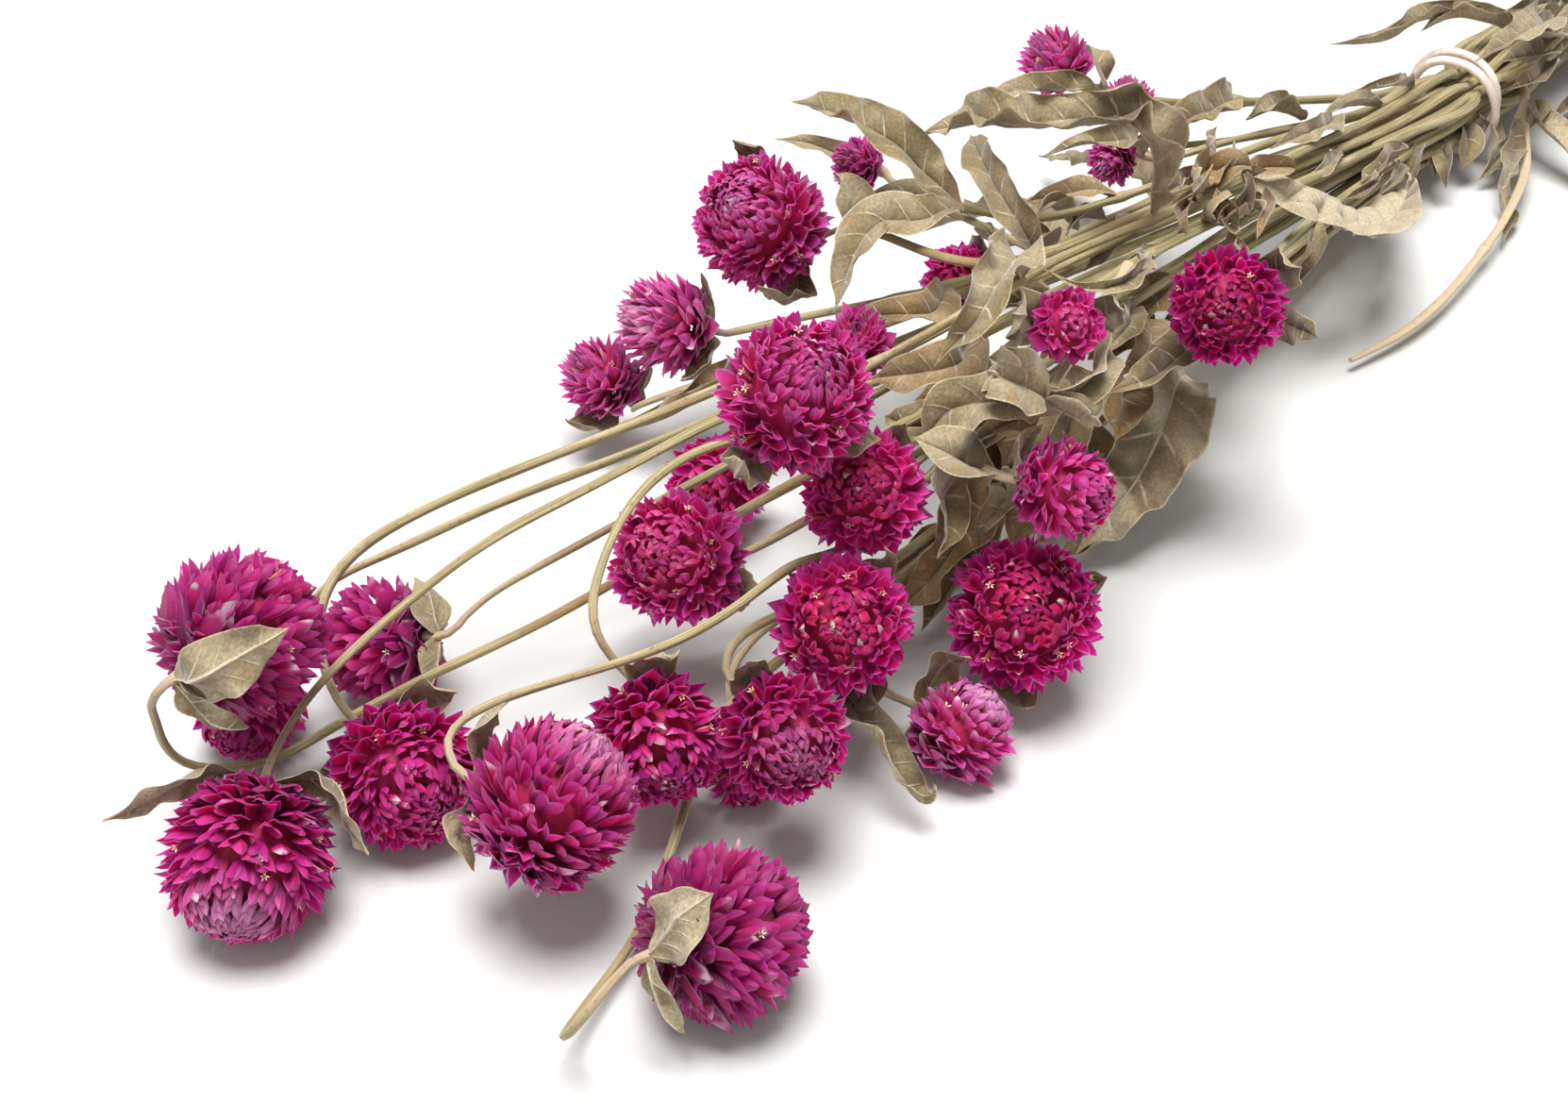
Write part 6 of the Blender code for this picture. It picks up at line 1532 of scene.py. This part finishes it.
# How pale the scarious tips of a crown are, with a painted sheen of light glancing off them
FROSTED_AND_SHEENED = {4: 1.0, 6: 0.8, 8: 0.4, 13: 1.0, 24: 1.0}
# Crowns of a clear crimson
CRIMSON = {11, 12, 14, 15, 17, 19, 21}
# Young heads, open like a fan from the neck
FANS = {21, 22, 24, 25, 26, 27, 28, 29}
# How unevenly a head's bracteoles stand out
RAGGED = {1: 1.8, 12: 1.2, 14: 2.4, 16: 1.3, 24: 1.2, 25: 1.2}
# From crimson, 0, to faded lilac pink, 1, with the darker heads below 0
TONES = {
    1: -0.22, 2: 0.1, 3: -0.15, 4: -0.10, 5: -0.04, 6: 0.1, 8: -0.26, 10: -0.36, 11: -0.08, 12: -0.04,
    13: 0.95, 14: 0.28, 16: 0.4, 17: 0.05, 18: 0.3, 19: -0.30, 20: 0.3, 21: 0.1, 22: 0.3, 23: 0.65,
    24: 1.0, 25: 0.8, 26: 0.9, 27: 0.9, 28: 0.9, 29: 0.9,
}
# Where each piece's random draws start
HEAD_SEED = 300
STEM_SEED = 500
FILLER_SEED = 77
FILLER_STALK_SEED = 640
LEAF_SEED = 900
LITTER_SEED = 1200


class HeadSettings(bpy.types.PropertyGroup):
    """Sizes and colours of the heads."""

    breadth: FloatProperty(
        name="Bracteole width", description="Greatest width of a bracteole", default=2.45 * MM, unit="LENGTH")
    density: FloatProperty(
        name="Florets per square mm", description="Florets for the square of the radius in mm", default=2.3)
    open_share: FloatProperty(
        name="Open florets", description="Share of the florets that show their star", default=0.09,
        subtype="FACTOR", min=0, max=1)
    centre: colour_setting("Centre", "Tight bracteoles at the crown", "#C0184C")
    petal: colour_setting("Bracteole", "Bracteoles round the middle of a head", "#C42470")
    basal: colour_setting("Lowest bracteoles", "Bracteoles by the stem", "#B02064")
    faded: colour_setting("Faded", "Older, lighter heads", "#E474B0")
    # painted light: the deep colour is lighter than the shade between the bracteoles, as if lit through them
    deep: colour_setting("Deep", "Lower part of a bracteole, between its neighbours", "#C8125A")
    tip: colour_setting("Bracteole tip", "Lighter part towards the tip", "#C84A98")
    # painted highlight: the margin colour also stands in for glints of light along the thin edges
    margin: colour_setting("Margin", "Frayed thin edge of a bracteole", "#EAB2CE")
    floret: colour_setting("Floret", "Star-shaped dry corolla", "#EFDCC2")


class StalkSettings(bpy.types.PropertyGroup):
    """Shape and colours of the stalks."""

    sides: IntProperty(name="Sides", description="Faces round a stalk", default=14)
    ribs: IntProperty(name="Ribs", description="Lengthwise ribs round a stalk", default=5)
    depth: FloatProperty(name="Rib depth", description="Rib height as a share of the radius", default=0.09)
    fillers: IntProperty(name="Inner stalks", description="Thinner stalks that fill the bundle", default=26)
    olive: colour_setting("Olive", "Greener fibres", "#8F8655")
    straw: colour_setting("Straw", "Paler fibres", "#BEAD84")
    brown: colour_setting("Brown", "Browned stretches", "#957A4C")
    neck: colour_setting("Neck", "Hairy stretch below a head", "#C7AB93")


class LeafSettings(bpy.types.PropertyGroup):
    """Fineness and colours of the leaves."""

    spacing: FloatProperty(
        name="Row spacing", description="Distance between rows of a leaf's mesh", default=0.7 * MM,
        unit="LENGTH")
    olive: colour_setting("Olive", "Main colour of a dried leaf", "#857553")
    grey: colour_setting("Grey", "Greyer areas", "#A8997A")
    brown: colour_setting("Brown", "Browned leaves and tips", "#A37E50")
    pale: colour_setting("Pale", "Felted undersides and pale leaves", "#CDBFA2")
    # painted shade: the dark colour that fills a leaf's folds
    fold_shade_colour: colour_setting("Hollows", "Darker brown by the midrib and in folds", "#5E4A2C")
    vein: colour_setting("Veins", "Midribs, side veins and margins", "#E0D3B8")


class BandSettings(bpy.types.PropertyGroup):
    """Size and colour of the rubber band."""

    thickness: FloatProperty(
        name="Thickness", description="Thickness of one strand", default=2 * BAND_RADIUS, unit="LENGTH")
    colour: colour_setting("Rubber", "Colour of the rubber", "#F1E2D8")


class StageSettings(bpy.types.PropertyGroup):
    """Floor, light and camera."""

    lens: FloatProperty(name="Lens", description="Focal length in mm on a 36 mm sensor", default=50.0)
    key: FloatProperty(
        name="Key light", description="Power of the soft light above", default=25.0, unit="POWER")
    front: FloatProperty(
        name="Front fill", description="Power of the soft light by the camera", default=2.5, unit="POWER")
    fill: FloatProperty(name="Surroundings", description="Brightness of the surroundings", default=0.28)
    floor: colour_setting("Floor", "White paper floor", "#D2D2D0")


def dress_head(name, place, looks, finishes):
    """One head: its shaded heart, its bracteoles and its open florets."""
    middle, radius, crown = place
    number = int(name[-2:])
    rng = np.random.default_rng(HEAD_SEED + number)
    lot = Lot()
    points, faces = ball(middle - crown * radius * 0.02, radius * HEART, crown)
    lot.add(points, faces, 2, (0, 0, 0), (0, 0, 0))
    crown = unit(np.array(CROWNS.get(number, crown)))
    loose = radius < 7.4 * MM
    fan = number in FANS
    density = looks.density * (0.62 if fan else 1.0)
    sites = head_sites(middle, radius, crown, rng, density, RAGGED.get(number, 1.6 if loose else 1.0), fan)
    size = looks.breadth * min(1.0, (radius / MM / 8.5) ** 0.5) * (1.4 if fan else 1.15 if loose else 1.0)
    frost_and_sheen, tone = FROSTED_AND_SHEENED.get(number, 0.0) - float(number in CRIMSON), TONES.get(number, 0.0)
    bracteoles(lot, sites, rng, size, 0, frost_and_sheen, tone)
    skirt = basal_sites(middle, radius, crown, rng, 11)
    bracteoles(lot, skirt, rng, size * 1.35, 0, frost_and_sheen, tone)
    star_florets(lot, sites, rng, looks.open_share, 1)
    return lot.piece(f"{name}_head", finishes, [name])


class BuildHeads(bpy.types.Operator):
    """Build every head from its bracteoles and open florets"""

    bl_idname = "dried_bunch.heads"
    bl_label = "Heads"

    def execute(self, context):
        looks = context.scene.dried_heads
        finishes = [bracteole_finish(looks), floret_finish(looks), heart_finish()]
        for name, place in laid_out()[0].items():
            dress_head(name, place, looks, finishes)
        return {"FINISHED"}


# How bleached a torn shoot is, and how far the leaves under a bloom stand off its solid
TORN_BLEACHED = 0.9
BRACT_LIFT = 0.9 * MM
# An inner stalk's faces round it, and its ribs
FILLER_SIDES = 8
FILLER_RIBS = 4


def finer(block, step):
    """The three lines of a blade in finer steps; a step is measured over all three together."""
    return through(block.reshape(len(block), 9), step).reshape(-1, 3, 3)


class BuildStalks(bpy.types.Operator):
    """Build every stem's stalks with the leaves that grow on them"""

    bl_idname = "dried_bunch.stalks"
    bl_label = "Stalks and leaves"

    def execute(self, context):
        stalks, leaves = context.scene.dried_stalks, context.scene.dried_leaves
        finishes = [stalk_finish(stalks), leaf_finish(leaves)]
        blooms, strands, blades = laid_out()
        numbers = {id(blade): k for k, blade in enumerate(blades)}
        for k, stem in enumerate(STEMS):
            lot = Lot()
            rng = np.random.default_rng(STEM_SEED + k)
            own_blades = [b for b in blades if b.stem == stem]
            own_strands = [s for s in strands if s.stem == stem]
            joints = [b.columns[0, 1] for b in own_blades if not b.bloom]
            joints += [s.points[-1] for s in own_strands if not s.first]
            joints += [seen(*BROKEN_KNOT)] if stem == "stem_23" else []
            for strand in own_strands:
                bleached = 0.0 if strand.bloom or strand.first else TORN_BLEACHED
                shape = stalks.sides, stalks.ribs, stalks.depth
                ribbed_stalk(lot, strand, rng, 0, *shape, joints, bleached)
            for blade in own_blades:
                number = numbers[id(blade)]
                own = np.random.default_rng(LEAF_SEED + number)
                kind = "bract" if blade.bloom else "leaf"
                step = leaves.spacing * (0.7 if blade.bloom else 1.0) * math.sqrt(3)
                lines = finer(blade.columns, step)
                if blade.bloom:
                    lines = lines + unit(lines - blooms[blade.bloom][0]) * BRACT_LIFT
                leaf_sheet(lot, lines, own, 1, leaf_style(kind, number, own))
            lot.piece(f"{stem}_leafy", finishes, [stem], crease=65)
        lot = Lot()
        rng = np.random.default_rng(FILLER_STALK_SEED)
        for strand in filler_strands(strands, stalks.fillers):
            ribbed_stalk(lot, strand, rng, 0, FILLER_SIDES, FILLER_RIBS, stalks.depth)
        lot.piece("inner_stalks", finishes, crease=65)
        lot = Lot()
        for k, (place, block) in enumerate(litter_blades(strands, blooms)):
            own = np.random.default_rng(LITTER_SEED + k)
            lines = finer(block, leaves.spacing * 1.4 * math.sqrt(3))
            leaf_sheet(lot, lines, own, 1, litter_style(place, own))
        lot.piece("inner_leaves", finishes, crease=65)
        return {"FINISHED"}


BAND_ROWS = 220
BAND_SIDES = 14


class WindBand(bpy.types.Operator):
    """Wind the rubber band twice round the stems"""

    bl_idname = "dried_bunch.band"
    bl_label = "Rubber band"

    def execute(self, context):
        looks = context.scene.dried_band
        count, sides = BAND_ROWS, BAND_SIDES
        line, way = band_line(count)
        along = unit(np.roll(line, -1, axis=0) - np.roll(line, 1, axis=0))
        across = unit(np.cross(along, way))
        up = np.cross(across, along)
        angles = np.arange(sides) * 2 * math.pi / sides
        sections = line[:, None] + looks.thickness / 2 * (
            across[:, None] * np.cos(angles)[None, :, None] + up[:, None] * np.sin(angles)[None, :, None])
        sections[..., 2] = np.maximum(sections[..., 2], 0)
        i, j = np.meshgrid(np.arange(count), np.arange(sides), indexing="ij")
        n, k = (i + 1) % count, (j + 1) % sides
        faces = np.stack([i * sides + j, i * sides + k, n * sides + k, n * sides + j], -1).reshape(-1, 4)
        lot = Lot()
        lot.add(sections.reshape(-1, 3), faces, 0, (0, 0, 0), (0, 0, 0))
        lot.piece("rubber_band_loops", [rubber_finish(looks)], ["rubber_band"], crease=80)
        return {"FINISHED"}


# How far the floor reaches, what the lamps point at and how far off they hang, in metres
FLOOR_REACH = 4.0
LIT_AT = Vector((0, 0, 0.02))
LAMP_AWAY = 1.2


class SetStage(bpy.types.Operator):
    """Lay a white floor, hang two soft lights and place the camera"""

    bl_idname = "dried_bunch.stage"
    bl_label = "Stage"

    def execute(self, context):
        looks = context.scene.dried_stage
        scene = context.scene
        mesh = bpy.data.meshes.new("paper_floor")
        corners = [(x * FLOOR_REACH, y * FLOOR_REACH, 0) for x, y in ((-1, -1), (1, -1), (1, 1), (-1, 1))]
        mesh.from_pydata(corners, [], [(0, 1, 2, 3)])
        paper = bpy.data.materials.new("matt_white_paper")
        paper.use_nodes = True
        feed(paper.node_tree.nodes["Principled BSDF"], {
            "Base Color": looks.floor, "Roughness": 0.95, "Specular IOR Level": 0.1,
        })
        mesh.materials.append(paper)
        placed("paper_floor", mesh)
        for name, power, size, way in (
            ("soft_key", looks.key, 0.75, Z - RIGHT * 0.10 - AHEAD * 0.10),
            ("front_fill", looks.front, 1.2, Z * 0.55 - RIGHT * 0.15 - AHEAD * 0.8),
        ):
            light = bpy.data.lights.new(name, "AREA")
            light.shape = "DISK"
            light.size = size
            light.energy = power
            lamp = placed(name, light)
            lamp.location = LIT_AT + Vector(unit(way)) * LAMP_AWAY
            lamp.rotation_euler = (lamp.location - LIT_AT).to_track_quat("Z", "Y").to_euler()
        world = bpy.data.worlds.new("white_room")
        world.use_nodes = True
        feed(world.node_tree.nodes["Background"], {"Color": (1, 1, 1, 1), "Strength": looks.fill})
        scene.world = world
        lens = bpy.data.cameras.new("camera")
        lens.lens = looks.lens
        lens.sensor_width = 36
        lens.clip_start = 0.01
        scene.camera = placed("camera", lens)
        turned = Matrix((RIGHT, UPWARD, -FORWARD)).transposed().to_4x4()
        scene.camera.matrix_world = Matrix.Translation(EYE) @ turned
        scene.view_settings.view_transform = "Standard"
        return {"FINISHED"}


class BunchPanel(bpy.types.Panel):
    """The bunch's pieces and their settings"""

    bl_idname = "VIEW3D_PT_dried_bunch"
    bl_label = "Dried bunch"
    bl_space_type = "VIEW_3D"
    bl_region_type = "UI"
    bl_category = "Dried bunch"

    def draw(self, context):
        scene = context.scene
        for operator, settings in (
            (BuildHeads, scene.dried_heads), (BuildStalks, scene.dried_stalks), (None, scene.dried_leaves),
            (WindBand, scene.dried_band), (SetStage, scene.dried_stage),
        ):
            box = self.layout.box()
            if operator:
                box.operator(operator.bl_idname)
            for name in settings.__annotations__:
                box.prop(settings, name)


SETTINGS = {
    "dried_heads": HeadSettings,
    "dried_stalks": StalkSettings,
    "dried_leaves": LeafSettings,
    "dried_band": BandSettings,
    "dried_stage": StageSettings,
}
OTHERS = (BuildHeads, BuildStalks, WindBand, SetStage, BunchPanel)


def register():
    for name, group in SETTINGS.items():
        bpy.utils.register_class(group)
        setattr(bpy.types.Scene, name, PointerProperty(type=group))
    for kind in OTHERS:
        bpy.utils.register_class(kind)


def unregister():
    for kind in reversed(OTHERS):
        bpy.utils.unregister_class(kind)
    for name, group in reversed(SETTINGS.items()):
        delattr(bpy.types.Scene, name)
        bpy.utils.unregister_class(group)


def main():
    register()
    bpy.ops.dried_bunch.heads()
    bpy.ops.dried_bunch.stalks()
    bpy.ops.dried_bunch.band()
    bpy.ops.dried_bunch.stage()


if __name__ == "__main__":
    main()
